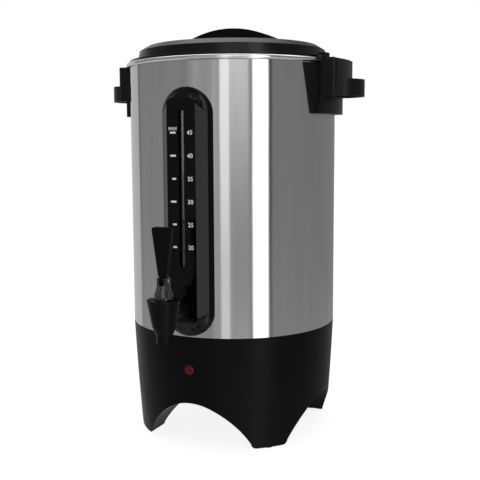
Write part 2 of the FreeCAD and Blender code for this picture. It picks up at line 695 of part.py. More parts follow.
def screw(x, y, z, along, head_radius, head_height, shank_radius, length):
    """A pan-head screw; the point is under the head and along is where the shank goes."""
    back = {"+": "-", "-": "+"}[along[0]] + along[1]
    head = rod(head_radius, head_height, x, y, z, back)
    shank = rod(shank_radius, length, x, y, z, along)
    return fuse(head, shank)


def small_screw(x, y, z, along, length):
    return screw(
        x, y, z, along, S.small_screw_head_radius, S.small_screw_head_height, S.small_screw_radius, length
    )


COVER_SCREWS = 4
QUARTER_TURN = size(90)

# Plastic base with four legs

def base_section(inset, high):
    """Outer curve of the base up to a height, moved inwards by inset."""
    return bend(S.base_top_radius - inset, high, S.base_bulge_radius - inset, 1)


def arch_half_width(height, grow):
    """Half width of an arch at a height, for the arch grown outwards by grow."""
    shift = (S.arch_crown_radius - S.arch_side_radius) * sine(S.arch_crown_angle)
    drop = S.arch_height - S.arch_crown_radius
    centre = drop + (S.arch_crown_radius - S.arch_side_radius) * cosine(S.arch_crown_angle)
    return shift + leg(S.arch_side_radius + grow, height - centre)


def arch(plane, grow, reach):
    """The space of two opposite arches, cut right through along the plane's missing axis."""
    crown = S.arch_crown_radius + grow
    side = S.arch_side_radius + grow
    crown_u = crown * sine(S.arch_crown_angle)
    crown_v = S.arch_height - S.arch_crown_radius + crown * cosine(S.arch_crown_angle)
    round_top = S.foot_lift + S.foot_round
    foot = arch_half_width(round_top, grow)
    flare = foot + S.foot_round
    below = -S.foot_round
    steps = [
        straight(-flare, S.foot_lift),
        bend(-foot, round_top, S.foot_round, 1),
        bend(-crown_u, crown_v, side, -1),
        bend(crown_u, crown_v, crown, -1),
        bend(foot, round_top, side, -1),
        bend(flare, S.foot_lift, S.foot_round, 1),
        straight(flare, below),
    ]
    return slab(plane, (-flare, below), steps, -reach, reach)


def around(place_radius, count, first):
    """Points (x, y) evenly spaced around the axis, the first at an angle."""
    turns = [size(360.0 * number) / count + first for number in range(int(size(count).value))]
    return [(place_radius * cosine(turn), place_radius * sine(turn)) for turn in turns]


def cover_screw_places():
    return around(S.cover_radius + S.clearance - S.cover_ring_width / 2, COVER_SCREWS, QUARTER_TURN / 2)


def pad_places():
    return [(x, y) for x in (-S.pad_place, S.pad_place) for y in (-S.pad_place, S.pad_place)]


def make_base_skirt():
    reach = S.base_top_radius + S.base_wall
    top = S.base_height
    wall = S.base_wall
    outside = turned(
        (0, S.foot_lift),
        [straight(S.base_foot_radius, S.foot_lift), base_section(0, top), straight(0, top)],
    )
    locating_ring = turned(
        *tube(S.deck_ring_radius, S.deck_ring_radius - S.deck_ring_width, top - wall, top + S.deck_ring_rise)
    )
    ceiling = top - wall
    room = turned(
        (0, S.foot_lift + wall),
        [
            straight(S.base_foot_radius - wall, S.foot_lift + wall),
            base_section(wall, ceiling),
            straight(0, ceiling),
        ],
    )
    recess_top = S.arch_height + S.cover_thickness
    recess = S.cover_radius + S.clearance
    seat = rod(recess + wall, recess_top + S.cover_ring_height)
    inside = cut(room, arch("XZ", wall, reach), arch("YZ", wall, reach), seat)
    shadow = turned(*tube(reach, S.deck_ring_radius, top - S.seam_gap, top + wall))
    lamp_hole = rod(S.lamp_bore_radius, reach, 0, 0, S.lamp_height, "-Y")
    half_window = S.inlet_width / 2 + S.clearance
    tall_window = S.inlet_tall / 2 + S.clearance
    window = block(
        -half_window, half_window, 0, reach, S.inlet_height - tall_window, S.inlet_height + tall_window
    )
    pad_holes = [rod(S.pad_radius + S.clearance, S.pad_height, x, y) for x, y in pad_places()]
    screw_depth = S.cover_screw_length - S.cover_thickness + S.clearance
    screw_bore = S.small_screw_radius + S.clearance
    screw_holes = [rod(screw_bore, screw_depth, x, y, recess_top) for x, y in cover_screw_places()]
    tools = [
        inside,
        arch("XZ", size(0), reach),
        arch("YZ", size(0), reach),
        rod(S.deck_opening_radius, top, 0, 0, ceiling),
        rod(recess, recess_top),
        rod(recess - S.cover_ring_width, ceiling),
        shadow,
        lamp_hole,
        window,
    ]
    part("base_skirt", cut(fuse(outside, locating_ring), *tools, *pad_holes, *screw_holes))


def make_base_cover():
    """Round plate with air slots, held in the base by four screws."""
    body = DOC.addObject("PartDesign::Body", "Body")
    plane = origin_plane(body, "XY_Plane")

    def on_floor(name):
        sketch = body.newObject("Sketcher::SketchObject", name)
        sketch.AttachmentSupport = (plane, "")
        sketch.MapMode = "FlatFace"
        bind(sketch, ".AttachmentOffset.Base.z", S.arch_height)
        return sketch

    disc = on_floor("Disc")
    disc.addGeometry(Part.Circle(FreeCAD.Vector(), FreeCAD.Vector(0, 0, 1), S.cover_radius.value), False)
    disc.addConstraint(Sketcher.Constraint("Coincident", 0, 3, -1, 1))
    bound = disc.addConstraint(Sketcher.Constraint("Radius", 0, S.cover_radius.value))
    bind(disc, f"Constraints[{bound}]", S.cover_radius)
    pad = body.newObject("PartDesign::Pad", "Plate")
    pad.Profile = disc
    bind(pad, "Length", S.cover_thickness)
    slot = on_floor("Slot")
    near = S.cover_vent_radius - S.cover_vent_length / 2
    far = S.cover_vent_radius + S.cover_vent_length / 2
    half = S.cover_vent_width / 2
    steps = [
        straight(far, -half),
        bend(far + half, 0, half, 1),
        bend(far, half, half, 1),
        straight(near, half),
        bend(near - half, 0, half, 1),
        bend(near, -half, half, 1),
    ]
    draw(slot, (near, -half), steps)
    pocket = body.newObject("PartDesign::Pocket", "AirSlot")
    pocket.Profile = slot
    pocket.Type = 1
    pocket.Midplane = True
    slots = body.newObject("PartDesign::PolarPattern", "AirSlots")
    slots.Originals = [pocket]
    slots.Axis = (slot, ["N_Axis"])
    slots.Angle = 360
    bind(slots, "Occurrences", S.cover_vent_count)
    body.Tip = slots
    holes = [rod(S.small_screw_radius + S.clearance, S.base_height, x, y) for x, y in cover_screw_places()]
    rod_hole = rod(S.tie_radius + S.clearance, S.base_height)
    part("base_cover", cut(body, rod_hole, *holes))


def make_base_fasteners():
    screws = [small_screw(x, y, S.arch_height, "+Z", S.cover_screw_length) for x, y in cover_screw_places()]
    part("base_screws", group(*screws))
    part("foot_pads", group(*[rod(S.pad_radius, S.pad_height, x, y) for x, y in pad_places()]))


# Steel shell and tank

def handle_screw_heights():
    return S.handle_screw_low, S.handle_screw_high


def gauge_screw_places():
    return [
        (x, z)
        for x in (-S.gauge_screw_side, S.gauge_screw_side)
        for z in (S.gauge_screw_low, S.gauge_screw_high)
    ]


def make_body_shell():
    inner = S.shell_radius - S.shell_wall
    wall = turned(*tube(S.shell_radius, inner, S.base_height, S.shell_top))
    shank_hole = rod(S.shank_radius + S.clearance, S.shell_radius, 0, 0, S.tap_height, "-Y")
    handle_holes = [
        rod(S.handle_screw_radius + S.clearance, S.shell_radius, 0, 0, z, along)
        for z in handle_screw_heights()
        for along in ("+X", "-X")
    ]
    gauge_holes = [
        rod(S.small_screw_radius + S.clearance, S.shell_radius, x, 0, z, "-Y")
        for x, z in gauge_screw_places()
    ]
    part("body_shell", cut(wall, shank_hole, *handle_holes, *gauge_holes))


def make_inner_tank():
    wall = S.tank_wall
    radius = S.tank_radius
    low = S.tank_floor
    well = S.well_radius
    flange = S.rim_height
    steps = [
        straight(well, low - S.well_depth),
        straight(well, low),
        straight(radius, low),
        straight(radius, flange - wall / 2),
        straight(S.rim_radius, flange - wall / 2),
        straight(S.rim_radius, flange + wall / 2),
        straight(radius - wall, flange + wall / 2),
        straight(radius - wall, low + wall),
        straight(well - wall, low + wall),
        straight(well - wall, low + wall - S.well_depth),
        straight(0, low + wall - S.well_depth),
    ]
    pan = turned((0, low - S.well_depth), steps)
    bead = ring(S.rim_radius, S.rim_bead_radius, 0, 0, flange)
    shank_hole = rod(S.shank_radius + S.clearance, S.shell_radius, 0, 0, S.tap_height, "-Y")
    part("inner_tank", cut(fuse(pan, bead), shank_hole))


# Heaters and parts under the tank

def heater(label, ring_radius, tube_radius):
    """A tubular ring under the tank floor with two cold ends pointing down on the -X side."""
    height = S.tank_floor - tube_radius - S.clearance
    end_x = -leg(ring_radius, S.heater_pin_spread)
    ends = [
        rod(S.heater_pin_radius, S.heater_pin_length, end_x, y, height - S.heater_pin_length)
        for y in (-S.heater_pin_spread, S.heater_pin_spread)
    ]
    part(label, fuse(ring(ring_radius, tube_radius, 0, 0, height), *ends))


def make_base_parts():
    heater("perk_heater", S.perk_ring_radius, S.perk_tube_radius)
    heater("keep_warm_heater", S.warm_ring_radius, S.warm_tube_radius)
    under = S.tank_floor - S.clearance
    place_y = S.thermostat_place
    can = rod(S.thermostat_radius, S.thermostat_height, 0, place_y, under - S.thermostat_height)
    can_low = under - S.thermostat_height
    thin = S.tab_thickness / 2
    tabs = [
        block(
            x - S.tab_width / 2, x + S.tab_width / 2, place_y - thin, place_y + thin,
            can_low - S.tab_length, can_low,
        )
        for x in (-S.tab_place, S.tab_place)
    ]
    part("thermostat", fuse(can, *tabs))
    fuse_height = under - S.fuse_radius
    capsule = rod(S.fuse_radius, S.fuse_length, -S.fuse_length / 2, -place_y, fuse_height, "+X")
    part("thermal_fuse", capsule)
    sheet = S.shield_sheet
    dish = S.shield_radius
    flange_top = S.base_height - S.base_wall
    tie_hole = S.tie_radius + S.clearance
    shield = turned(
        (tie_hole, S.shield_height),
        [
            straight(dish, S.shield_height),
            straight(dish, flange_top - sheet),
            straight(S.shield_flange, flange_top - sheet),
            straight(S.shield_flange, flange_top),
            straight(dish - sheet, flange_top),
            straight(dish - sheet, S.shield_height + sheet),
            straight(tie_hole, S.shield_height + sheet),
        ],
    )
    part("heat_shield", shield)
    nut_top = S.arch_height
    nut_bottom = nut_top - S.tie_nut_height
    tie_bottom = nut_bottom - S.tie_tail
    part("tie_rod", rod(S.tie_radius, S.tank_floor - S.well_depth - tie_bottom, 0, 0, tie_bottom))
    bore = rod(S.tie_radius, S.base_height)
    part("tie_nut", cut(hexagon(S.tie_nut_width, S.tie_nut_height, 0, 0, nut_bottom), bore))
    cover_top = S.arch_height + S.cover_thickness
    half = S.block_length / 2
    bar = block(
        -half, half, S.block_place - S.block_width / 2, S.block_place + S.block_width / 2,
        cover_top, cover_top + S.block_height,
    )
    wells = [
        rod(S.block_well_radius, S.block_height / 2, x, S.block_place, cover_top + S.block_height / 2)
        for x in (-S.block_well_pitch, 0, S.block_well_pitch)
    ]
    part("terminal_block", cut(bar, *wells))


def base_radius_at(height):
    """Outside radius of the base, taken on its chord, which lies within the long curve."""
    share = (height - S.foot_lift) / (S.base_height - S.foot_lift)
    return S.base_foot_radius + (S.base_top_radius - S.base_foot_radius) * share


def make_indicator():
    wall_face = base_radius_at(S.lamp_height)
    face = wall_face + S.lens_dome / 2
    stem_length = S.base_wall + S.lens_dome / 2 + S.lens_tail
    body = DOC.addObject("PartDesign::Body", "Body")
    sketch = body.newObject("Sketcher::SketchObject", "Section")
    sketch.AttachmentSupport = (origin_plane(body, "XZ_Plane"), "")
    sketch.MapMode = "FlatFace"
    flange = S.lens_radius
    dome = S.lens_dome
    bulge = (flange * flange + dome * dome) / (dome * 2)
    draw(
        sketch,
        (0, -stem_length),
        [
            straight(S.lamp_bore_radius - S.clearance, -stem_length),
            straight(S.lamp_bore_radius - S.clearance, -S.clearance),
            straight(flange, -S.clearance),
            straight(flange, 0),
            bend(0, dome, bulge, 1),
        ],
    )
    feature = body.newObject("PartDesign::Revolution", "Turn")
    feature.Profile = sketch
    feature.ReferenceAxis = (sketch, ["V_Axis"])
    feature.Angle = 360
    body.Tip = feature
    body.Placement = FreeCAD.Placement(FreeCAD.Vector(), TURNS["-Y"])
    place(body, 0, -face, S.lamp_height)
    part("indicator_lens", body)
    lamp_front = face - stem_length - S.clearance
    part("indicator_lamp", rod(S.lamp_radius, S.lamp_length, 0, -lamp_front, S.lamp_height, "+Y"))


def make_cord_inlet():
    """Recessed appliance inlet at the back, and its three contact pins."""
    front = base_radius_at(S.inlet_height) + S.inlet_proud
    half = S.inlet_width / 2
    tall = S.inlet_tall / 2
    low, high = S.inlet_height - tall, S.inlet_height + tall
    housing = block(-half, half, front - S.inlet_depth, front, low, high)
    recess = block(
        -S.socket_width / 2, S.socket_width / 2, front - S.socket_depth, front + S.overshoot,
        S.inlet_height - S.socket_tall / 2, S.inlet_height + S.socket_tall / 2,
    )
    part("cord_inlet", cut(housing, recess))
    back = front - S.socket_depth
    places = [(-S.pin_pitch, -S.pin_drop), (size(0), S.pin_rise), (S.pin_pitch, -S.pin_drop)]
    pins = [
        block(
            x - S.pin_thick / 2, x + S.pin_thick / 2, back, back + S.pin_length,
            S.inlet_height + shift - S.pin_width / 2, S.inlet_height + shift + S.pin_width / 2,
        )
        for x, shift in places
    ]
    part("inlet_pins", group(*pins))


# Sight gauge

def rounded_window(depth, half, low, high, corner):
    """An upright rounded outline at a distance in front of the axis."""
    inner = half - corner
    return outline(
        "XZ",
        (-inner, low),
        [
            straight(inner, low),
            bend(half, low + corner, corner, 1),
            straight(half, high - corner),
            bend(inner, high, corner, 1),
            straight(-inner, high),
            bend(-half, high - corner, corner, 1),
            straight(-half, low + corner),
            bend(-inner, low, corner, 1),
        ],
        -depth,
    )


def make_gauge():
    top, low = S.gauge_plate_top, S.gauge_plate_bottom
    tight = S.gauge_end_flat
    sections = [
        rounded_window(
            S.gauge_root_depth, S.gauge_root_half, low - S.gauge_root_drop, top + S.gauge_root_rise,
            S.gauge_root_half - tight,
        ),
        rounded_window(
            S.gauge_crease_depth, S.gauge_crease_half, low - S.gauge_foot_drop, top + S.gauge_crease_rise,
            S.gauge_crease_half - tight,
        ),
        rounded_window(
            S.gauge_mid_depth, S.gauge_mid_half, low - S.gauge_foot_drop / 2, top + S.gauge_crease_rise / 2,
            S.gauge_mid_round,
        ),
        rounded_window(S.gauge_face_depth, S.gauge_plate_half, low, top, S.gauge_plate_round),
    ]
    mound = DOC.addObject("Part::Loft", "Mound")
    mound.Sections = sections
    mound.Solid = True
    mound.Ruled = True
    shell_space = rod(S.shell_radius + S.clearance, S.shell_top)
    under_seam = block(
        -S.gauge_root_half, S.gauge_root_half, -S.gauge_face_depth, 0, 0, S.base_height + S.clearance
    )
    plate_back = S.gauge_face_depth - S.plate_thickness
    front = -(S.gauge_face_depth + S.overshoot)
    plate_room = slab("XZ", *plate_steps(S.clearance), front, -plate_back)
    channel_half = S.seal_radius + S.clearance
    channel = block(
        -channel_half, channel_half, -plate_back, -S.gauge_root_depth,
        S.tap_height, S.glass_top + S.seal_end + S.clearance,
    )
    shank_hole = rod(S.shank_radius + S.clearance, S.gauge_face_depth, 0, 0, S.tap_height, "-Y")
    screw_holes = [
        rod(S.small_screw_radius + S.clearance, S.shell_radius + S.gauge_screw_length, x, 0, z, "-Y")
        for x, z in gauge_screw_places()
    ]
    tools = [shell_space, under_seam, plate_room, channel, shank_hole, *screw_holes]
    part("gauge_housing", cut(mound, *tools))
    slot = slab(
        "XZ",
        (-S.slot_half, S.slot_bottom + S.slot_half),
        [
            bend(0, S.slot_bottom, S.slot_half, 1),
            bend(S.slot_half, S.slot_bottom + S.slot_half, S.slot_half, 1),
            straight(S.slot_half, S.slot_top - S.slot_half),
            bend(0, S.slot_top, S.slot_half, 1),
            bend(-S.slot_half, S.slot_top - S.slot_half, S.slot_half, 1),
        ],
        front, -S.gauge_root_depth,
    )
    plate = slab("XZ", *plate_steps(size(0)), -S.gauge_face_depth, -(plate_back + S.clearance / 2))
    plate_hole = rod(S.shank_radius + S.clearance, -front, 0, 0, S.tap_height, "-Y")
    tube_groove = rod(
        channel_half, S.glass_top + S.seal_end + S.clearance - S.tap_height, 0, -S.glass_depth, S.tap_height
    )
    part("gauge_plate", cut(plate, slot, plate_hole, tube_groove))
    inside = S.shell_radius - S.shell_wall
    screws = [
        small_screw(x, -leg(inside, x) + S.small_screw_radius, z, "-Y", S.gauge_screw_length)
        for x, z in gauge_screw_places()
    ]
    part("gauge_screws", group(*screws))


def plate_steps(grow):
    """Outline of the flat face, inset from its edge so that a rim of the housing stays."""
    inset = S.clearance * 2
    half = S.gauge_plate_half - inset + grow
    low = S.gauge_plate_bottom + inset - grow
    high = S.gauge_plate_top - inset + grow
    corner = S.gauge_plate_round - inset + grow
    inner = half - corner
    return (-inner, low), [
        straight(inner, low),
        bend(half, low + corner, corner, 1),
        straight(half, high - corner),
        bend(inner, high, corner, 1),
        straight(-inner, high),
        bend(-half, high - corner, corner, 1),
        straight(-half, low + corner),
        bend(-inner, low, corner, 1),
    ]


def make_sight_tube():
    y = -S.glass_depth
    length = S.glass_top - S.glass_bottom
    glass = rod(S.glass_radius, length, 0, y, S.glass_bottom)
    bore = rod(S.glass_radius - S.glass_wall, length, 0, y, S.glass_bottom)
    part("sight_tube", cut(glass, bore))
    grip = S.seal_overlap
    low_seal = cut(
        rod(S.seal_radius, S.seal_end + grip, 0, y, S.glass_bottom - S.seal_end),
        rod(S.glass_radius, grip, 0, y, S.glass_bottom),
        rod(S.branch_bore, S.seal_end, 0, y, S.glass_bottom - S.seal_end),
    )
    high_seal = cut(
        rod(S.seal_radius, S.seal_end + grip, 0, y, S.glass_top - grip),
        rod(S.glass_radius, grip, 0, y, S.glass_top - grip),
        rod(S.branch_bore, S.seal_end, 0, y, S.glass_top),
    )
    part("sight_tube_seals", group(low_seal, high_seal))


# Tap

def make_tap_shank():
    z = S.tap_height
    face = S.gauge_face_depth
    front = S.tap_reach - S.shank_overlap
    stem = rod(S.shank_radius, front - S.shank_inside, 0, -S.shank_inside, z, "-Y")
    collar = rod(S.collar_radius, S.collar_thickness, 0, -(face + S.clearance), z, "-Y")
    branch_top = S.glass_bottom - S.seal_end - S.clearance
    branch = rod(S.branch_radius, branch_top - z, 0, -S.glass_depth, z)
    waterway = rod(S.shank_bore, front, 0, 0, z, "-Y")
    gauge_way = rod(S.branch_bore, branch_top - z, 0, -S.glass_depth, z)
    part("tap_shank", cut(fuse(stem, collar, branch), waterway, gauge_way))
    inner_wall = S.tank_radius - S.tank_wall
    seal_thick = S.gasket_thickness
    bore = rod(S.shank_radius + S.clearance, S.shell_radius, 0, 0, z, "-Y")
    seat = rod(S.tank_radius - S.tank_wall, S.tank_floor + S.tap_height, 0, 0, 0)
    flat = leg(inner_wall, S.gasket_radius)
    inner_gasket = common(rod(S.gasket_radius, inner_wall, 0, -(flat - seal_thick), z, "-Y"), seat)
    between = S.shell_radius - S.shell_wall
    spacer_front = leg(between, S.gasket_radius)
    spacer_back = S.tank_radius + S.clearance / 2
    outer_gasket = cut(
        rod(S.gasket_radius, spacer_front - S.clearance - S.tank_radius, 0, -spacer_back, z, "-Y"),
        rod(S.tank_radius + S.clearance, S.shell_top),
    )
    outer_bore = rod(S.shank_radius + S.clearance, S.shell_radius, 0, 0, z, "-Y")
    part("tap_gaskets", group(cut(inner_gasket, bore), cut(outer_gasket, outer_bore)))
    nut_front = flat - seal_thick - S.clearance
    nut = hexagon(S.nut_width, S.nut_height, 0, -(nut_front - S.nut_height), z, "-Y")
    nut_bore = rod(S.shank_radius, S.shell_radius, 0, 0, z, "-Y")
    part("tap_shank_nut", cut(nut, nut_bore))


def upright(thing):
    """Move a turned piece from the urn's axis to the tap's upright axis."""
    return place(thing, 0, -S.tap_reach, 0)


def make_tap_body():
    thread = S.bonnet_thread_radius + S.clearance
    thread_low = S.bonnet_thread_bottom - S.clearance
    section = [
        straight(S.spout_radius, S.spout_bottom),
        straight(S.tap_neck_radius, S.tap_neck_height),
        straight(S.tap_waist_radius, S.tap_waist_height),
        straight(S.tap_top_radius, S.tap_top),
        straight(0, S.tap_top),
    ]
    cup = upright(turned((0, S.spout_bottom), section))
    barrel_start = S.gauge_face_depth + S.clearance + S.collar_thickness + S.clearance
    barrel = rod(S.barrel_radius, S.tap_reach - barrel_start, 0, -barrel_start, S.tap_height, "-Y")
    hollow = upright(
        turned(
            (0, S.spout_bottom - S.overshoot),
            [
                straight(S.spout_bore, S.spout_bottom - S.overshoot),
                straight(S.spout_bore, S.seat_height),
                straight(S.chamber_radius, S.seat_height),
                straight(S.chamber_radius, thread_low),
                straight(thread, thread_low),
                straight(thread, S.tap_top + S.overshoot),
                straight(0, S.tap_top + S.overshoot),
            ],
        )
    )
    socket_depth = S.tap_reach - S.shank_overlap + S.clearance
    socket = rod(S.shank_radius + S.clearance, socket_depth, 0, 0, S.tap_height, "-Y")
    waterway = rod(S.shank_bore, S.tap_reach, 0, 0, S.tap_height, "-Y")
    part("tap_body", cut(fuse(cup, barrel), hollow, socket, waterway))


def make_tap_bonnet():
    flange_low = S.tap_top + S.clearance
    flange_top = flange_low + S.bonnet_flange_height
    bore = S.stem_radius + S.running_gap
    cavity_low = flange_top
    section = [
        straight(S.bonnet_thread_radius, S.bonnet_thread_bottom),
        straight(S.bonnet_thread_radius, flange_low),
        straight(S.bonnet_flange_radius, flange_low),
        straight(S.bonnet_flange_radius, flange_top - S.bonnet_chamfer),
        straight(S.bonnet_flange_radius - S.bonnet_chamfer, flange_top),
        straight(S.bonnet_cone_radius, flange_top),
        straight(S.bonnet_neck_radius, S.bonnet_neck_height),
        straight(S.bonnet_cavity_radius, S.bonnet_neck_height),
        straight(S.bonnet_cavity_radius, cavity_low),
        straight(bore, cavity_low),
    ]
    cone = turned((bore, S.bonnet_thread_bottom), section)
    heel_gap = S.lever_heel_half + S.motion_gap
    ear_low = S.bonnet_neck_height - S.ear_thickness
    ears = []
    for low in (heel_gap, -(heel_gap + S.ear_thickness)):
        high = low + S.ear_thickness
        foot = block(low, high, -S.ear_radius, S.ear_radius, ear_low, S.pin_height)
        knuckle = rod(S.ear_radius, S.ear_thickness, low, 0, S.pin_height, "+X")
        ears.extend((foot, knuckle))
    ribs = []
    cone_rise = S.bonnet_neck_height - flange_top
    rib_low = S.bonnet_cone_radius
    cone_taper = S.bonnet_cone_radius - S.bonnet_neck_radius
    lean_angle = math.degrees(math.atan2(cone_taper.value, cone_rise.value))
    lean = FreeCAD.Rotation(FreeCAD.Vector(0, 1, 0), -lean_angle)
    for number in range(int(S.bonnet_rib_count.value)):
        turn = size(360.0 * number) / S.bonnet_rib_count
        rib = DOC.addObject("Part::Cone", "Rib")
        bind(rib, "Radius1", S.bonnet_rib_radius)
        bind(rib, "Radius2", S.bonnet_rib_radius / 2)
        bind(rib, "Height", cone_rise)
        rib.Placement = FreeCAD.Placement(
            FreeCAD.Vector(), FreeCAD.Rotation(FreeCAD.Vector(0, 0, 1), turn.value).multiply(lean)
        )
        place(rib, rib_low * cosine(turn), rib_low * sine(turn), flange_top)
        ribs.append(rib)
    pin_hole = rod(S.pin_radius, S.bonnet_flange_radius * 2, -S.bonnet_flange_radius, 0, S.pin_height, "+X")
    cavity = rod(S.bonnet_cavity_radius, S.bonnet_neck_height - cavity_low, 0, 0, cavity_low)
    part("tap_bonnet", upright(cut(fuse(cone, *ribs, *ears), cavity, pin_hole)))
    pin_half = heel_gap + S.ear_thickness + S.clearance
    part("lever_pin", upright(group(rod(S.pin_radius, pin_half * 2, -pin_half, 0, S.pin_height, "+X"))))


def make_tap_lever():
    """Flat paddle with a narrow heel that turns on the pin."""
    shoulder = S.pin_height + S.ear_radius + S.motion_gap
    top = S.lever_top
    corner = S.lever_round
    half = S.lever_half_thickness
    paddle = slab(
        "XZ",
        (-S.lever_neck_half, shoulder),
        [
            straight(S.lever_neck_half, shoulder),
            straight(S.lever_top_half, top - corner),
            bend(S.lever_top_half - corner, top, corner, 1),
            straight(corner - S.lever_top_half, top),
            bend(-S.lever_top_half, top - corner, corner, 1),
        ],
        -half, half,
    )
    heel_half = S.lever_heel_half
    heel = block(-heel_half, heel_half, -half, half, S.pin_height, shoulder + S.overshoot)
    knuckle = rod(S.lever_heel_radius, heel_half * 2, -heel_half, 0, S.pin_height, "+X")
    pin_hole = rod(S.pin_radius + S.running_gap, heel_half * 4, -heel_half * 2, 0, S.pin_height, "+X")
    part("tap_lever", upright(cut(fuse(paddle, heel, knuckle), pin_hole)))


def make_tap_valve():
    """Stem, rubber seat cup and the sleeve that stands for the stem's spring."""
    neck = S.stem_top - S.stem_head_height
    stem = turned(
        (0, S.stem_bottom),
        [
            straight(S.stem_radius, S.stem_bottom),
            straight(S.stem_radius, neck),
            straight(S.stem_head_radius, neck),
            straight(S.stem_head_radius, S.stem_top),
            straight(0, S.stem_top),
        ],
    )
    part("tap_stem", upright(stem))
    low = S.seat_height + S.clearance / 2
    top = low + S.cup_height
    cup = turned(
        (0, low),
        [
            straight(S.cup_radius, low),
            straight(S.cup_radius, top - S.cup_chamfer),
            straight(S.cup_radius - S.cup_chamfer, top),
            straight(S.stem_radius, top),
            straight(S.stem_radius, S.stem_bottom),
            straight(0, S.stem_bottom),
        ],
    )
    part("seat_cup", upright(cup))
    spring_low = top + S.clearance
    spring_high = S.bonnet_thread_bottom - S.clearance
    sleeve = turned(*tube(S.spring_radius, S.stem_radius + S.motion_gap, spring_low, spring_high))
    part("stem_spring", upright(sleeve))


# Handles

def wing_plate(top_half, bottom_half, high, outer):
    """A tapering plate that lies on the shell from the wing's lower edge up, out to a radius."""
    taper = slab(
        "YZ",
        (-bottom_half, S.wing_bottom),
        [
            straight(bottom_half, S.wing_bottom),
            straight(top_half, S.wing_top),
            straight(-top_half, S.wing_top),
        ],
        0, S.bracket_radius + S.grip_half,
    )
    return common(taper, rod(outer, high - S.wing_bottom, 0, 0, S.wing_bottom))


def sector(inner, outer, angle, half_angle, low, high):
    """A stretch of a ring about Z, cut off by two upright planes."""
    corners = [
        (inner * cosine(angle - half_angle), inner * sine(angle - half_angle)),
        (outer * cosine(angle - half_angle), outer * sine(angle - half_angle)),
        (outer * cosine(angle + half_angle), outer * sine(angle + half_angle)),
        (inner * cosine(angle + half_angle), inner * sine(angle + half_angle)),
    ]
    steps = [
        straight(*corners[1]),
        bend(*corners[2], outer, 1),
        straight(*corners[3]),
        bend(*corners[0], inner, -1),
    ]
    return slab("XY", corners[0], steps, low, high)


def make_handle(label, half_turn):
    shell_face = S.shell_radius + S.clearance
    wing = wing_plate(S.wing_top_half, S.wing_bottom_half, S.wing_top, shell_face + S.wing_thickness)
    panel = wing_plate(S.rib_top_half, S.rib_bottom_half, S.wing_top, shell_face + S.rib_thickness)
    bracket = wing_plate(S.rib_bottom_half, S.rib_bottom_half, S.grip_bottom, S.bracket_radius)
    start = S.shell_radius - S.grip_inner_round
    half = S.grip_inner_half
    corner = S.grip_inner_round
    face = S.grip_inner_radius
    corner_v = half - corner
    corner_u = leg(face - corner, corner_v)
    touch_u = corner_u * face / (face - corner)
    touch_v = corner_v * face / (face - corner)
    upper = slab(
        "XY",
        (start, -half),
        [
            straight(corner_u, -half),
            bend(touch_u, -touch_v, corner, 1),
            bend(touch_u, touch_v, face, 1),
            bend(corner_u, half, corner, 1),
            straight(start, half),
        ],
        S.grip_bottom, S.grip_top,
    )
    grip = S.grip_half
    tip = S.grip_centre + grip
    lower = slab(
        "XY",
        (start, -grip),
        [
            straight(S.grip_centre, -grip),
            bend(tip, 0, grip, 1),
            bend(S.grip_centre, grip, grip, 1),
            straight(start, grip),
        ],
        S.grip_bottom, S.grip_step,
    )
    hollow_half = grip - S.grip_wall
    hollow = slab(
        "XY",
        (S.grip_web, -leg(hollow_half, S.grip_web - S.grip_centre)),
        [
            bend(S.grip_centre + hollow_half, 0, hollow_half, 1),
            bend(S.grip_web, leg(hollow_half, S.grip_web - S.grip_centre), hollow_half, 1),
        ],
        S.grip_bottom - S.overshoot, S.grip_step - S.grip_wall,
    )
    hook_turn = -S.hook_angle
    post_outer = S.hook_post_radius + S.hook_post_thickness
    post_low = S.grip_top - S.overshoot
    post = sector(S.hook_post_radius, post_outer, hook_turn, S.hook_half_angle, post_low, S.hook_top)
    tongue_end = S.hook_post_radius + S.overshoot
    tongue = sector(
        S.hook_inside_radius, tongue_end, hook_turn, S.hook_half_angle, S.hook_under, S.hook_top
    )
    solid = cut(fuse(wing, panel, bracket, upper, lower), rod(shell_face, S.grip_top))
    holes = [
        rod(S.handle_screw_radius, S.shell_radius + S.handle_screw_length, 0, 0, z, "+X")
        for z in handle_screw_heights()
    ]
    rim_room_radius = S.rim_radius + S.rim_bead_radius + S.clearance
    rim_room = rod(rim_room_radius, S.grip_top - S.wing_top + S.overshoot, 0, 0, S.wing_top)
    solid = cut(solid, hollow, rim_room, *holes)
    finished = group(fuse(solid, post, tongue))
    if half_turn:
        upright_axis = FreeCAD.Vector(0, 0, 1)
        finished.Placement = FreeCAD.Placement(FreeCAD.Vector(), FreeCAD.Rotation(upright_axis, 180))
    part(label, finished)


def make_handle_screws():
    inside = S.shell_radius - S.shell_wall
    flat = leg(inside, S.handle_screw_head_radius)
    screws = []
    for z in handle_screw_heights():
        for along, x in (("+X", flat), ("-X", -flat)):
            screws.append(
                screw(
                    x, 0, z, along, S.handle_screw_head_radius, S.handle_screw_head_height,
                    S.handle_screw_radius, S.handle_screw_length,
                )
            )
    part("handle_screws", group(*screws))


# Lid

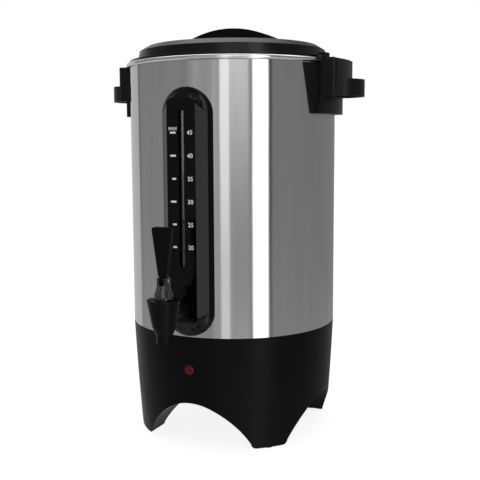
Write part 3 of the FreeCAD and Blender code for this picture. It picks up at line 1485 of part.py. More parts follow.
def make_lid():
    lathe("lid_gasket", *tube(S.gasket_outside, S.gasket_inside, S.gasket_seat, S.gasket_top))
    low = S.lid_flange_bottom
    flange_top = S.lid_flange_top
    sheet = S.lid_sheet
    wall = S.lid_wall_radius
    groove = S.lid_groove
    inner_wall = S.lid_spigot_radius - sheet
    steps = [
        straight(S.lid_dish_radius, S.lid_dish_height),
        straight(S.lid_dish_rim, S.lid_crown_height),
        straight(S.lid_crown_radius, S.lid_crown_height),
        straight(S.lid_shoulder_radius, S.lid_shoulder_height),
        straight(S.lid_wall_top_radius, S.lid_wall_top + groove),
        straight(S.lid_wall_top_radius - groove, S.lid_wall_top + groove),
        straight(S.lid_wall_top_radius - groove, S.lid_wall_top),
        straight(S.lid_wall_top_radius, S.lid_wall_top),
        straight(wall, flange_top),
        straight(S.lid_flange_radius, flange_top),
        straight(S.lid_flange_radius, low),
        straight(S.lid_spigot_radius, low),
        straight(S.lid_spigot_radius, S.lid_spigot_bottom),
        straight(inner_wall, S.lid_spigot_bottom),
        straight(inner_wall, S.lid_wall_top - sheet / 2),
        straight(S.lid_shoulder_radius - sheet / 2, S.lid_shoulder_height - sheet),
        straight(S.lid_crown_radius, S.lid_crown_height - sheet),
        straight(S.lid_dish_rim + sheet, S.lid_crown_height - sheet),
        straight(S.lid_dish_radius + sheet, S.lid_dish_height - sheet),
        straight(0, S.lid_dish_height - sheet),
    ]
    dome = turned((0, S.lid_dish_height), steps)
    lugs = [
        sector(wall, S.lug_radius, size(angle), S.lug_half_angle, low, flange_top) for angle in (0, 180)
    ]
    vent_places = around(S.lid_vent_place, S.lid_vent_count, QUARTER_TURN / 3)
    vents = [rod(S.lid_vent_radius, S.lid_crown_height, x, y) for x, y in vent_places]
    screw_holes = [
        rod(S.small_screw_radius + S.clearance, S.lid_crown_height, x, 0, 0)
        for x in (-S.lid_screw_place, S.lid_screw_place)
    ]
    part("lid_cover", cut(fuse(dome, *lugs), *vents, *screw_holes))


def make_lid_grip():
    """Arched bar over the lid's dish, standing on the flat crown."""
    outer = S.arch_grip_radius
    centre = S.arch_grip_height - outer
    foot = S.lid_crown_height + S.clearance
    out_u = S.arch_grip_end
    in_u = out_u - S.arch_grip_foot
    in_v = foot + S.arch_grip_thickness / 2
    edge_u = leg(outer - S.arch_grip_thickness, in_v - centre)
    middle = S.arch_grip_height - S.arch_grip_depth
    rise = middle - in_v
    inner = (edge_u * edge_u + rise * rise) / (rise * 2)
    half = S.arch_grip_half
    bar = slab(
        "XZ",
        (in_u, foot),
        [
            straight(out_u, foot),
            bend(0, S.arch_grip_height, outer, 1),
            bend(-out_u, foot, outer, 1),
            straight(-in_u, foot),
            straight(-edge_u, in_v),
            bend(0, middle, inner, -1),
            bend(edge_u, in_v, inner, -1),
        ],
        -half, half,
    )
    plan_end = slab(
        "XY",
        (-out_u + half, -half),
        [
            straight(out_u - half, -half),
            bend(out_u, 0, half, 1),
            bend(out_u - half, half, half, 1),
            straight(-out_u + half, half),
            bend(-out_u, 0, half, 1),
            bend(-out_u + half, -half, half, 1),
        ],
        foot - S.overshoot, S.arch_grip_height + S.overshoot,
    )
    depth = S.lid_screw_length - S.lid_sheet
    holes = [
        rod(S.small_screw_radius, depth, x, 0, foot) for x in (-S.lid_screw_place, S.lid_screw_place)
    ]
    part("lid_grip", cut(common(bar, plan_end), *holes))
    head_face = S.lid_crown_height - S.lid_sheet
    screws = [
        small_screw(x, 0, head_face, "+Z", S.lid_screw_length)
        for x in (-S.lid_screw_place, S.lid_screw_place)
    ]
    part("lid_screws", group(*screws))


# Percolator set

def strainer_holes(sheet_low):
    """Two rows of holes through a sheet that lies at a height."""
    places = [
        place_of_hole
        for row_radius in (S.basket_row_inner, S.basket_row_outer)
        for place_of_hole in around(row_radius, S.basket_hole_count, 0)
    ]
    length = S.basket_sheet + S.overshoot * 2
    return [rod(S.basket_hole_radius, length, x, y, sheet_low - S.overshoot) for x, y in places]


def make_percolator():
    floor = S.tank_floor - S.well_depth + S.tank_wall + S.clearance
    stem_inner = S.perk_stem_radius - S.perk_stem_wall
    disc_top = floor + S.pump_disc_height
    cone_top = disc_top + S.pump_cone_height
    fit = S.perk_stem_radius + S.clearance / 2
    disc_low = floor + S.pump_rim_depth
    rim_inside = S.pump_disc_radius - S.pump_rim_width
    lathe(
        "pump_disc",
        (fit, disc_low),
        [
            straight(rim_inside, disc_low),
            straight(rim_inside, floor),
            straight(S.pump_disc_radius, floor),
            straight(S.pump_disc_radius, disc_top),
            straight(S.pump_cone_radius, disc_top),
            straight(fit + S.pump_cone_tip, cone_top),
            straight(fit, cone_top),
        ],
    )
    collar_top = S.collar_height + S.basket_collar_thickness
    lathe(
        "pump_tube",
        (stem_inner, disc_low),
        [
            straight(S.perk_stem_radius, disc_low),
            straight(S.perk_stem_radius, S.collar_height),
            straight(S.basket_collar_radius, S.collar_height),
            straight(S.basket_collar_radius, collar_top),
            straight(S.perk_stem_radius, collar_top),
            straight(S.perk_stem_radius, S.perk_stem_top),
            straight(stem_inner, S.perk_stem_top),
        ],
    )
    sheet = S.basket_sheet
    bottom = S.basket_bottom
    sleeve_in = S.perk_stem_radius + S.motion_gap
    sleeve_out = sleeve_in + sheet
    sleeve_top = S.basket_top - S.spreader_skirt
    pan = turned(
        (sleeve_in, bottom),
        [
            straight(S.basket_radius, bottom),
            straight(S.basket_radius, S.basket_top),
            straight(S.basket_radius - sheet, S.basket_top),
            straight(S.basket_radius - sheet, bottom + sheet),
            straight(sleeve_out, bottom + sheet),
            straight(sleeve_out, sleeve_top),
            straight(sleeve_in, sleeve_top),
        ],
    )
    part("brew_basket", cut(pan, *strainer_holes(bottom)))
    lid_low = S.basket_top + S.spreader_gap
    edge_in = S.basket_radius + S.motion_gap
    plate = turned(
        (sleeve_in, lid_low),
        [
            straight(edge_in, lid_low),
            straight(edge_in, lid_low - S.spreader_skirt),
            straight(edge_in + sheet, lid_low - S.spreader_skirt),
            straight(edge_in + sheet, lid_low + sheet),
            straight(sleeve_in, lid_low + sheet),
        ],
    )
    part("basket_spreader", cut(plate, *strainer_holes(lid_low)))


make_base_skirt()
make_base_cover()
make_base_fasteners()
make_body_shell()
make_inner_tank()
make_base_parts()
make_indicator()
make_cord_inlet()
make_gauge()
make_sight_tube()
make_tap_shank()
make_tap_body()
make_tap_bonnet()
make_tap_lever()
make_tap_valve()
make_handle("handle_right", False)
make_handle("handle_left", True)
make_handle_screws()
make_lid()
make_lid_grip()
make_percolator()
DOC.recompute()

failed = [f"{thing.Name} ({thing.Label})" for thing in DOC.Objects if {"Invalid", "Error"} & set(thing.State)]
for thing in PARTS:
    if thing.Shape.isNull() or not thing.Shape.isValid() or not thing.Shape.Solids:
        failed.append(f"{thing.Label} has no valid solid")
if failed:
    raise RuntimeError("these failed: " + ", ".join(failed))

os.makedirs("parts", exist_ok=True)
for thing in PARTS:
    thing.Shape.exportStep(f"parts/{thing.Label}.step")
    solids = len(thing.Shape.Solids)
    print(f"{thing.Label}: {solids} solid(s), {thing.Shape.Volume:.0f} mm3")
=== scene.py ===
import json
import logging
import math
from dataclasses import dataclass, field
from enum import Enum

import bpy
from mathutils import Matrix


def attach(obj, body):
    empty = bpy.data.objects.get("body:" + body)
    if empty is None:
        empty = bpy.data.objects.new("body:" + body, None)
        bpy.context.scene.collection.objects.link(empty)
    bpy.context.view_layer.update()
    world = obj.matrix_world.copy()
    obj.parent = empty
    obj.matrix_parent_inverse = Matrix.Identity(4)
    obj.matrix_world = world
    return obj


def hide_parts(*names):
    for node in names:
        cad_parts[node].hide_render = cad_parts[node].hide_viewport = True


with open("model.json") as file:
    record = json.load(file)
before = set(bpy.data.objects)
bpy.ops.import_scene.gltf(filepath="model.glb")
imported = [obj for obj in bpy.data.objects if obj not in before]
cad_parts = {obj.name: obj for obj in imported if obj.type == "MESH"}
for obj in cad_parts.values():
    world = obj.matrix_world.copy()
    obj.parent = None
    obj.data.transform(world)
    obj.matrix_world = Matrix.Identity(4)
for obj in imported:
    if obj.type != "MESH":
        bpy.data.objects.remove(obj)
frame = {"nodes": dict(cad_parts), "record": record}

# Coffee urn: finishes, rounded mouldings, gauge print, floor, light and camera.
# Metres. The origin is on the floor under the middle of the urn, +Z is up and the tap faces -Y.

LOG = logging.getLogger("urn")
MM = 0.001
MICRON = 0.000001
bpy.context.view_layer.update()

Colour = tuple[float, float, float]
Socket = bpy.types.NodeSocket


def bench(*pieces: bpy.types.Object) -> None:
    """Deselect everything, then select these pieces and make the first one active.

    Args:
        pieces: what the next operators work on.
    """
    bpy.ops.object.select_all(action="DESELECT")
    for piece in pieces:
        piece.select_set(True)
    if pieces:
        bpy.context.view_layer.objects.active = pieces[0]


def shade(colour: Colour, factor: float) -> Colour:
    """A colour made darker or lighter."""
    return tuple(min(1.0, part * factor) for part in colour)


class Nodes:
    """A node tree, put together step by step."""

    def __init__(self, tree: bpy.types.NodeTree) -> None:
        """Work on this tree."""
        self.tree = tree

    def add(self, kind: str, **settings: object) -> bpy.types.Node:
        """Add a node and give it these settings.

        Args:
            kind: the node's type name.
            settings: attributes of the node, or default values of its inputs.

        Returns:
            The new node.
        """
        node = self.tree.nodes.new(kind)
        for name, value in settings.items():
            if name in node.bl_rna.properties:
                setattr(node, name, value)
            else:
                node.inputs[name.replace("_", " ")].default_value = value
        return node

    def link(self, source: Socket, target: Socket) -> None:
        """Join an output to an input."""
        self.tree.links.new(source, target)


class Recipe(Nodes):
    """A material's node tree around one Principled shader."""

    noise_low = 0.3
    noise_high = 0.7

    def __init__(self, name: str) -> None:
        """Start a material of this name."""
        self.material = bpy.data.materials.new(name)
        self.material.use_nodes = True
        super().__init__(self.material.node_tree)
        self.shader = self.tree.nodes["Principled BSDF"]
        self.output = self.tree.nodes["Material Output"]
        self.place = self.add("ShaderNodeTexCoord").outputs["Object"]

    def put(self, **values: float) -> None:
        """Set plain values on the shader's own sockets."""
        for name, value in values.items():
            self.shader.inputs[name.replace("_", " ")].default_value = value

    def stretched(self, x: float, y: float, z: float) -> Socket:
        """Object coordinates, scaled along each axis.

        Args:
            x: scale along X.
            y: scale along Y.
            z: scale along Z.

        Returns:
            The scaled coordinates.
        """
        mapping = self.add("ShaderNodeMapping", Scale=(x, y, z))
        self.link(self.place, mapping.inputs["Vector"])
        return mapping.outputs["Vector"]

    def noise(self, vector: Socket, scale: float, detail: float = 3.0) -> Socket:
        """Grey noise over a coordinate.

        Args:
            vector: the coordinate.
            scale: cells to a unit of it.
            detail: octaves of finer noise.

        Returns:
            The noise's value.
        """
        node = self.add("ShaderNodeTexNoise", Scale=scale, Detail=detail)
        self.link(vector, node.inputs["Vector"])
        return node.outputs["Fac"]

    def spread(self, value: Socket, low: float, high: float) -> Socket:
        """Map the middle of a noise's range to a range of values.

        Args:
            value: the noise.
            low: result at the lower end.
            high: result at the upper end.

        Returns:
            The mapped value.
        """
        node = self.add(
            "ShaderNodeMapRange", From_Min=self.noise_low, From_Max=self.noise_high, To_Min=low, To_Max=high
        )
        self.link(value, node.inputs["Value"])
        return node.outputs["Result"]

    def tint(self, value: Socket, dark: Colour, light: Colour) -> None:
        """Colour the surface between two colours.

        Args:
            value: 0 for the dark colour, 1 for the light one.
            dark: the dark colour.
            light: the light colour.
        """
        node = self.add("ShaderNodeMix", data_type="RGBA")
        first, second = [socket for socket in node.inputs if socket.type == "RGBA"]
        first.default_value = (*dark, 1)
        second.default_value = (*light, 1)
        self.link(value, node.inputs["Factor"])
        mixed = next(socket for socket in node.outputs if socket.type == "RGBA")
        self.link(mixed, self.shader.inputs["Base Color"])

    def roughen(self, value: Socket, roughness: float, least: float, most: float) -> None:
        """Vary the roughness with a noise.

        Args:
            value: the noise.
            roughness: the middle roughness.
            least: share of it at the smooth end.
            most: share of it at the rough end.
        """
        varied = self.spread(value, roughness * least, roughness * most)
        self.link(varied, self.shader.inputs["Roughness"])

    def bump(self, height: Socket, depth: float, strength: float = 1.0) -> None:
        """Raise the surface by a height map, on top of any earlier one.

        Args:
            height: the map.
            depth: its depth in metres.
            strength: how much of it shows.
        """
        node = self.add("ShaderNodeBump", Strength=strength, Distance=depth)
        self.link(height, node.inputs["Height"])
        for earlier in self.shader.inputs["Normal"].links:
            self.link(earlier.from_socket, node.inputs["Normal"])
        self.link(node.outputs["Normal"], self.shader.inputs["Normal"])


@dataclass(frozen=True)
class Moulded:
    """Moulded plastic or rubber with a fine grain and faint cloudiness in its sheen."""

    name: str
    colour: Colour
    roughness: float
    grain_size: float
    grain_depth: float
    specular: float = 0.5
    cloud_scale: float = 14
    cloud_detail: float = 4
    grain_detail: float = 2

    def build(self) -> bpy.types.Material:
        """Make the material.

        Returns:
            The material.
        """
        recipe = Recipe(self.name)
        recipe.put(Specular_IOR_Level=self.specular)
        cloud = recipe.noise(recipe.stretched(1, 1, 1), self.cloud_scale, self.cloud_detail)
        recipe.tint(recipe.spread(cloud, 0, 1), shade(self.colour, 0.85), shade(self.colour, 1.15))
        recipe.roughen(cloud, self.roughness, 0.88, 1.12)
        grain = recipe.noise(recipe.stretched(1, 1, 1), 1 / self.grain_size, self.grain_detail)
        recipe.bump(grain, self.grain_depth)
        return recipe.material


@dataclass(frozen=True)
class BrushedDrum:
    """Steel sheet brushed around the drum, so that its highlights run upright."""

    name: str
    colour: Colour
    roughness: float
    direction: float
    haze_stretch: tuple = (26, 26, 2.2)
    line_stretch: tuple = (3, 3, 900)
    dent_stretch: tuple = (11, 11, 5)
    dent_depth: float = 0.3 * MM
    line_depth: float = 4 * MICRON

    def build(self) -> bpy.types.Material:
        """Make the material.

        Returns:
            The material.
        """
        recipe = Recipe(self.name)
        recipe.put(Metallic=1.0, Anisotropic=1.0, Anisotropic_Rotation=self.direction)
        tangent = recipe.add("ShaderNodeTangent", direction_type="RADIAL", axis="Z")
        recipe.link(tangent.outputs["Tangent"], recipe.shader.inputs["Tangent"])
        haze = recipe.noise(recipe.stretched(*self.haze_stretch), 3, 5)
        recipe.tint(recipe.spread(haze, 0, 1), shade(self.colour, 0.955), shade(self.colour, 1.045))
        lines = recipe.noise(recipe.stretched(*self.line_stretch), 4, 3)
        recipe.roughen(lines, self.roughness, 0.93, 1.07)
        dents = recipe.noise(recipe.stretched(*self.dent_stretch), 1, 2)
        recipe.bump(dents, self.dent_depth)
        recipe.bump(lines, self.line_depth)
        return recipe.material


@dataclass(frozen=True)
class PlainMetal:
    """Metal with faint stains and scratches."""

    name: str
    colour: Colour
    roughness: float
    stain_scale: float = 40
    scratch_stretch: tuple = (80, 900, 900)
    scratch_depth: float = 4 * MICRON

    def build(self) -> bpy.types.Material:
        """Make the material.

        Returns:
            The material.
        """
        recipe = Recipe(self.name)
        recipe.put(Metallic=1.0)
        stain = recipe.noise(recipe.stretched(1, 1, 1), self.stain_scale, 5)
        recipe.tint(recipe.spread(stain, 0, 1), shade(self.colour, 0.93), shade(self.colour, 1.05))
        recipe.roughen(stain, self.roughness, 0.8, 1.25)
        scratches = recipe.noise(recipe.stretched(*self.scratch_stretch), 1.5, 3)
        recipe.bump(scratches, self.scratch_depth)
        return recipe.material


@dataclass(frozen=True)
class Clear:
    """Clear glass or plastic with a faint film."""

    name: str
    colour: Colour
    roughness: float
    index: float
    film_stretch: tuple = (1, 1, 0.3)
    film_scale: float = 60

    def build(self) -> bpy.types.Material:
        """Make the material.

        Returns:
            The material.
        """
        recipe = Recipe(self.name)
        recipe.put(Transmission_Weight=1.0, IOR=self.index, Coat_Weight=1.0, Coat_IOR=self.index)
        film = recipe.noise(recipe.stretched(*self.film_stretch), self.film_scale, 3)
        recipe.tint(recipe.spread(film, 0, 1), shade(self.colour, 0.9), self.colour)
        recipe.roughen(film, self.roughness, 0.6, 1.6)
        return recipe.material


@dataclass(frozen=True)
class FacetedLens:
    """Coloured lens moulded with small prisms on its inside, with the prisms' light and shade painted into
    its colour.
    """

    name: str
    colour: Colour
    prism: float
    prism_depth: float = 0.4 * MM
    prism_strength: float = 0.8

    def build(self) -> bpy.types.Material:
        """Make the material.

        Returns:
            The material.
        """
        recipe = Recipe(self.name)
        recipe.put(Roughness=0.3, Coat_Weight=0.1, Coat_Roughness=0.05, Specular_IOR_Level=0.12)
        cells = recipe.add("ShaderNodeTexVoronoi", Scale=1 / self.prism, feature="F1")
        recipe.link(recipe.place, cells.inputs["Vector"])
        # Painted light and shade: each prism runs from a painted dark middle to a painted bright rim, as if
        # its facets caught the light; the bump below gives the prisms' real shape.
        recipe.tint(cells.outputs["Distance"], shade(self.colour, 0.25), shade(self.colour, 1.5))
        recipe.bump(cells.outputs["Distance"], self.prism_depth, self.prism_strength)
        return recipe.material


@dataclass(frozen=True)
class Print:
    """Screen-printed ink, a little uneven."""

    name: str
    colour: Colour
    roughness: float = 0.5
    ink_scale: float = 700

    def build(self) -> bpy.types.Material:
        """Make the material.

        Returns:
            The material.
        """
        recipe = Recipe(self.name)
        recipe.put(Roughness=self.roughness)
        ink = recipe.noise(recipe.stretched(1, 1, 1), self.ink_scale, 3)
        recipe.tint(recipe.spread(ink, 0, 1), shade(self.colour, 0.92), self.colour)
        return recipe.material


class Finish(Enum):
    """The finishes. Those that belong to a slot of the record have its name."""

    BLACK_SATIN = "black_satin_plastic"
    BLACK_GLOSS = "black_gloss_plastic"
    BLACK_LID = "black_lid"
    BLACK_HANDLE = "black_handle"
    BLACK_TAP = "black_tap"
    BRUSHED_SHELL = "brushed_shell"
    BRIGHT_STEEL = "bright_steel"
    ALUMINIUM = "plain_aluminium"
    CLEAR_TUBE = "clear_tube"
    RED_LENS = "red_lens"
    BLACK_RUBBER = "black_rubber"
    SILICONE = "clear_silicone"
    ZINC_PLATE = "zinc_screws"
    HEATER_SHEATH = "heater_metal"
    CERAMIC = "white_ceramic"
    BRASS = "brass_pins"
    WHITE_INK = "white_ink"


FINISHES = {
    Finish.BLACK_SATIN: Moulded("black_satin", (0.003, 0.003, 0.0033), 0.38, 0.7 * MM, 20 * MICRON, 0.09),
    Finish.BLACK_GLOSS: Moulded("black_gloss", (0.0012, 0.0012, 0.0013), 0.14, 1.6 * MM, 4 * MICRON, 0.2),
    Finish.BLACK_LID: Moulded("black_lid", (0.002, 0.002, 0.0022), 0.24, 0.9 * MM, 12 * MICRON, 0.27),
    Finish.BLACK_HANDLE: Moulded("black_handle", (0.0058, 0.0058, 0.0062), 0.33, 0.8 * MM, 16 * MICRON, 0.17),
    Finish.BLACK_TAP: Moulded("black_tap", (0.0015, 0.0015, 0.0017), 0.09, 1.6 * MM, 3 * MICRON, 1.0),
    Finish.BRUSHED_SHELL: BrushedDrum("brushed_shell", (0.61, 0.615, 0.61), 0.15, 0.25),
    Finish.BRIGHT_STEEL: PlainMetal("bright_steel", (0.72, 0.72, 0.71), 0.16),
    Finish.ALUMINIUM: PlainMetal("plain_aluminium", (0.68, 0.69, 0.70), 0.38),
    Finish.CLEAR_TUBE: Clear("clear_tube", (0.6, 0.63, 0.63), 0.03, 1.6),
    Finish.RED_LENS: FacetedLens("red_lens", (0.13, 0.0012, 0.008), 2.1 * MM),
    Finish.BLACK_RUBBER: Moulded("black_rubber", (0.02, 0.02, 0.02), 0.78, 0.9 * MM, 50 * MICRON, 0.3),
    Finish.SILICONE: Moulded("milky_silicone", (0.6, 0.6, 0.57), 0.4, 2 * MM, 10 * MICRON, 0.4),
    Finish.ZINC_PLATE: PlainMetal("zinc_plate", (0.60, 0.61, 0.63), 0.3),
    Finish.HEATER_SHEATH: PlainMetal("heater_sheath", (0.30, 0.28, 0.26), 0.5),
    Finish.CERAMIC: Moulded("white_ceramic", (0.78, 0.76, 0.70), 0.25, 0.8 * MM, 20 * MICRON, 0.5),
    Finish.BRASS: PlainMetal("brass_pins", (0.78, 0.58, 0.26), 0.28),
    Finish.WHITE_INK: Print("white_ink", (0.92, 0.92, 0.91)),
}


class Body(Enum):
    """The bodies that added pieces ride on."""

    URN = "urn"
    LID = "lid"
    LEVER = "lever"


@dataclass
class Wardrobe:
    """Gives nodes and added pieces their finish."""

    made: dict[Finish, bpy.types.Material] = field(default_factory=dict)

    def slot_of(self, node: str) -> str:
        """The material slot that the record gives a node."""
        return next(part["material_slot"] for part in frame["record"]["subparts"] if part["node"] == node)

    def dress(self, thing: bpy.types.Object, finish: Finish) -> None:
        """Put one finish on a whole mesh. Each finish is made once.

        Args:
            thing: the object.
            finish: its finish.
        """
        if finish not in self.made:
            self.made[finish] = FINISHES[finish].build()
        thing.data.materials.clear()
        thing.data.materials.append(self.made[finish])

    def dress_all(self) -> None:
        """Put each slot's finish on every node."""
        for name, thing in frame["nodes"].items():
            self.dress(thing, Finish(self.slot_of(name)))
            LOG.info("dressed %s", name)

    def own(self, piece: bpy.types.Object, finish: Finish, slot: str, body: Body) -> None:
        """Give an added piece its finish and body.

        Args:
            piece: the finished mesh.
            finish: its finish.
            slot: the record's slot that it stands for; not used.
            body: the body that carries it.
        """
        self.dress(piece, finish)
        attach(piece, body.value)
        LOG.info("added %s on %s", piece.name, body.value)


@dataclass(frozen=True)
class Rounding:
    """How the edges of a moulded node are rounded: the width, the least crease in degrees, and its finish."""

    node: str
    width: float
    crease: float
    finish: Finish | None = None


@dataclass
class Mouldings:
    """Moulded nodes of one sub-assembly, copied with their edges rounded as a mould leaves them."""

    wardrobe: Wardrobe
    rounds: tuple[Rounding, ...] = ()
    merge_distance: float = 2 * MICRON
    flat_angle: float = math.radians(0.4)
    smooth_angle: float = math.radians(40)
    steps: int = 3

    def body_of(self, node: str) -> Body:
        """The body that carries a node."""
        groups = frame["record"]["behaviour"]["bodies"]
        return Body(next(name for name, nodes in groups.items() if node in nodes))

    def copy_of(self, node: str) -> bpy.types.Object:
        """A copy of a node with its triangles merged into faces.

        Args:
            node: the node's name.

        Returns:
            The copy.
        """
        piece = bpy.data.objects.new("rounded_" + node, frame["nodes"][node].data.copy())
        bpy.context.scene.collection.objects.link(piece)
        bench(piece)
        bpy.ops.mesh.customdata_custom_splitnormals_clear()
        bpy.ops.object.mode_set(mode="EDIT")
        bpy.ops.mesh.select_all(action="SELECT")
        bpy.ops.mesh.remove_doubles(threshold=self.merge_distance)
        bpy.ops.mesh.dissolve_limited(angle_limit=self.flat_angle)
        bpy.ops.mesh.select_all(action="DESELECT")
        bpy.ops.object.mode_set(mode="OBJECT")
        return piece

    def shape(self, piece: bpy.types.Object, node: str) -> None:
        """Change the form of a copy before its edges are rounded. Most keep theirs."""

    def soften(self, piece: bpy.types.Object, edge: Rounding) -> None:
        """Round the edges of a piece and smooth its shading.

        Args:
            piece: the piece.
            edge: its rounding.
        """
        rounding = piece.modifiers.new("Rounding", "BEVEL")
        rounding.width = edge.width
        rounding.segments = self.steps
        rounding.limit_method = "ANGLE"
        rounding.angle_limit = math.radians(edge.crease)
        bpy.ops.object.modifier_apply(modifier=rounding.name)
        bpy.ops.object.shade_smooth_by_angle(angle=self.smooth_angle)
        weights = piece.modifiers.new("Weights", "WEIGHTED_NORMAL")
        weights.keep_sharp = True
        bpy.ops.object.modifier_apply(modifier=weights.name)

    def build(self) -> None:
        """Make the rounded copies, each standing for its node."""
        for edge in self.rounds:
            piece = self.copy_of(edge.node)
            self.shape(piece, edge.node)
            self.soften(piece, edge)
            slot = self.wardrobe.slot_of(edge.node)
            self.wardrobe.own(piece, edge.finish or Finish(slot), slot, self.body_of(edge.node))
            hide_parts(edge.node)


@dataclass
class Skirt(Mouldings):
    """The base on its four legs."""

    rounds: tuple[Rounding, ...] = (Rounding("base_skirt", 0.6 * MM, 32),)


@dataclass
class Gauge(Mouldings):
    """The gauge's housing, with a straight slope around its flat face, and the face itself."""

    rounds: tuple[Rounding, ...] = (
        Rounding("gauge_housing", 0.5 * MM, 10),
        Rounding("gauge_plate", 0.25 * MM, 32),
    )
    hollow_line: float = -117.6 * MM
    hollow_fill: float = 1.0 * MM
    line_width: float = 0.05 * MM

    def shape(self, piece: bpy.types.Object, node: str) -> None:
        """Bring the hollow in the housing's slope out to a straight slope.

        Args:
            piece: the copy of a node.
            node: the node's name.
        """
        if node != "gauge_housing":
            return
        for vertex in piece.data.vertices:
            vertex.select = abs(vertex.co.y - self.hollow_line) < self.line_width
        bpy.ops.object.mode_set(mode="EDIT")
        bpy.ops.transform.translate(value=(0, -self.hollow_fill, 0))
        bpy.ops.object.mode_set(mode="OBJECT")


@dataclass
class Handles(Mouldings):
    """The two handles."""

    rounds: tuple[Rounding, ...] = (
        Rounding("handle_right", 1.0 * MM, 25, Finish.BLACK_HANDLE),
        Rounding("handle_left", 1.0 * MM, 25, Finish.BLACK_HANDLE),
    )


@dataclass
class Lid(Mouldings):
    """The lid and its arched grip."""

    rounds: tuple[Rounding, ...] = (
        Rounding("lid_cover", 0.7 * MM, 18, Finish.BLACK_LID),
        Rounding("lid_grip", 1.4 * MM, 32),
    )


@dataclass
class Tap(Mouldings):
    """The tap's lever, body and bonnet."""

    rounds: tuple[Rounding, ...] = (
        Rounding("tap_lever", 0.8 * MM, 25, Finish.BLACK_SATIN),
        Rounding("tap_body", 0.5 * MM, 32, Finish.BLACK_SATIN),
        Rounding("tap_bonnet", 0.15 * MM, 32, Finish.BLACK_TAP),
    )


@dataclass
class Inlet(Mouldings):
    """The power inlet at the back."""

    rounds: tuple[Rounding, ...] = (Rounding("cord_inlet", 0.8 * MM, 32),)


@dataclass
class GaugePrint:
    """White scale printed on the gauge's flat face: bars, numbers and the word over the highest bar."""

    wardrobe: Wardrobe
    face: float = -123.0 * MM
    thickness: float = 0.06 * MM
    first_height: float = 213.3 * MM
    step: float = 22.68 * MM
    numbers: tuple[int, ...] = (20, 25, 30, 35, 40, 45)
    long_numbers: tuple[int, ...] = (30, 40, 45)
    bar_right: float = -5.8 * MM
    long_bar: float = 6.2 * MM
    short_bar: float = 4.3 * MM
    bar_height: float = 1.9 * MM
    bar_edge: float = 0.25 * MM
    number_middle: float = 9.8 * MM
    number_size: float = 6.0 * MM
    word_size: float = 4.3 * MM
    word_lift: float = 3.9 * MM
    boldness: float = 0.016
    letter_gap: float = 1.05

    def lettering(self, text: str, size: float, x: float, z: float) -> bpy.types.Object:
        """A short printed text, centred on a point of the face.

        Args:
            text: what it says.
            size: the type's size.
            x: sideways place of its middle.
            z: height of its middle.

        Returns:
            The text as a mesh.
        """
        bpy.ops.object.select_all(action="DESELECT")
        bpy.ops.object.text_add(location=(0, 0, 0))
        label = bpy.context.object
        label.data.body = text
        label.data.size = size
        label.data.extrude = self.thickness / 2
        label.data.offset = size * self.boldness
        label.data.space_character = self.letter_gap
        label.data.align_x = "CENTER"
        label.data.align_y = "CENTER"
        bpy.ops.object.convert(target="MESH")
        label = bpy.context.object
        low = min(vertex.co.y for vertex in label.data.vertices)
        high = max(vertex.co.y for vertex in label.data.vertices)
        stand_up = Matrix.Rotation(math.radians(90), 4, "X")
        shift = Matrix.Translation((x, self.face - self.thickness / 2, z))
        label.data.transform(shift @ stand_up @ Matrix.Translation((0, -(low + high) / 2, 0)))
        return label

    def bar(self, length: float, z: float) -> bpy.types.Object:
        """A short printed bar that ends left of the slot.

        Args:
            length: its length.
            z: height of its middle.

        Returns:
            The bar as a mesh.
        """
        bpy.ops.object.select_all(action="DESELECT")
        bpy.ops.mesh.primitive_cube_add(size=1, location=(0, 0, 0))
        bar = bpy.context.object
        bpy.ops.object.mode_set(mode="EDIT")
        bpy.ops.mesh.select_all(action="SELECT")
        bpy.ops.transform.resize(value=(length, self.thickness, self.bar_height))
        middle = (self.bar_right - length / 2, self.face - self.thickness / 2, z)
        bpy.ops.transform.translate(value=middle)
        bpy.ops.mesh.bevel(offset=self.bar_edge, segments=2, affect="EDGES", clamp_overlap=True)
        bpy.ops.object.mode_set(mode="OBJECT")
        return bar

    def build(self) -> None:
        """Print the whole scale."""
        labels = []
        bars = []
        for place, number in enumerate(self.numbers):
            z = self.first_height + place * self.step
            labels.append(self.lettering(str(number), self.number_size, self.number_middle, z))
            length = self.long_bar if number in self.long_numbers else self.short_bar
            bars.append(self.bar(length, z))
        top = self.first_height + (len(self.numbers) - 1) * self.step
        middle = self.bar_right - self.long_bar / 2
        labels.append(self.lettering("MAX", self.word_size, middle, top + self.word_lift))
        for name, pieces in (("gauge_numbers", labels), ("gauge_bars", bars)):
            bench(*pieces)
            bpy.ops.object.join()
            joined = bpy.context.object
            joined.name = name
            self.wardrobe.own(joined, Finish.WHITE_INK, Finish.BLACK_GLOSS.value, Body.URN)


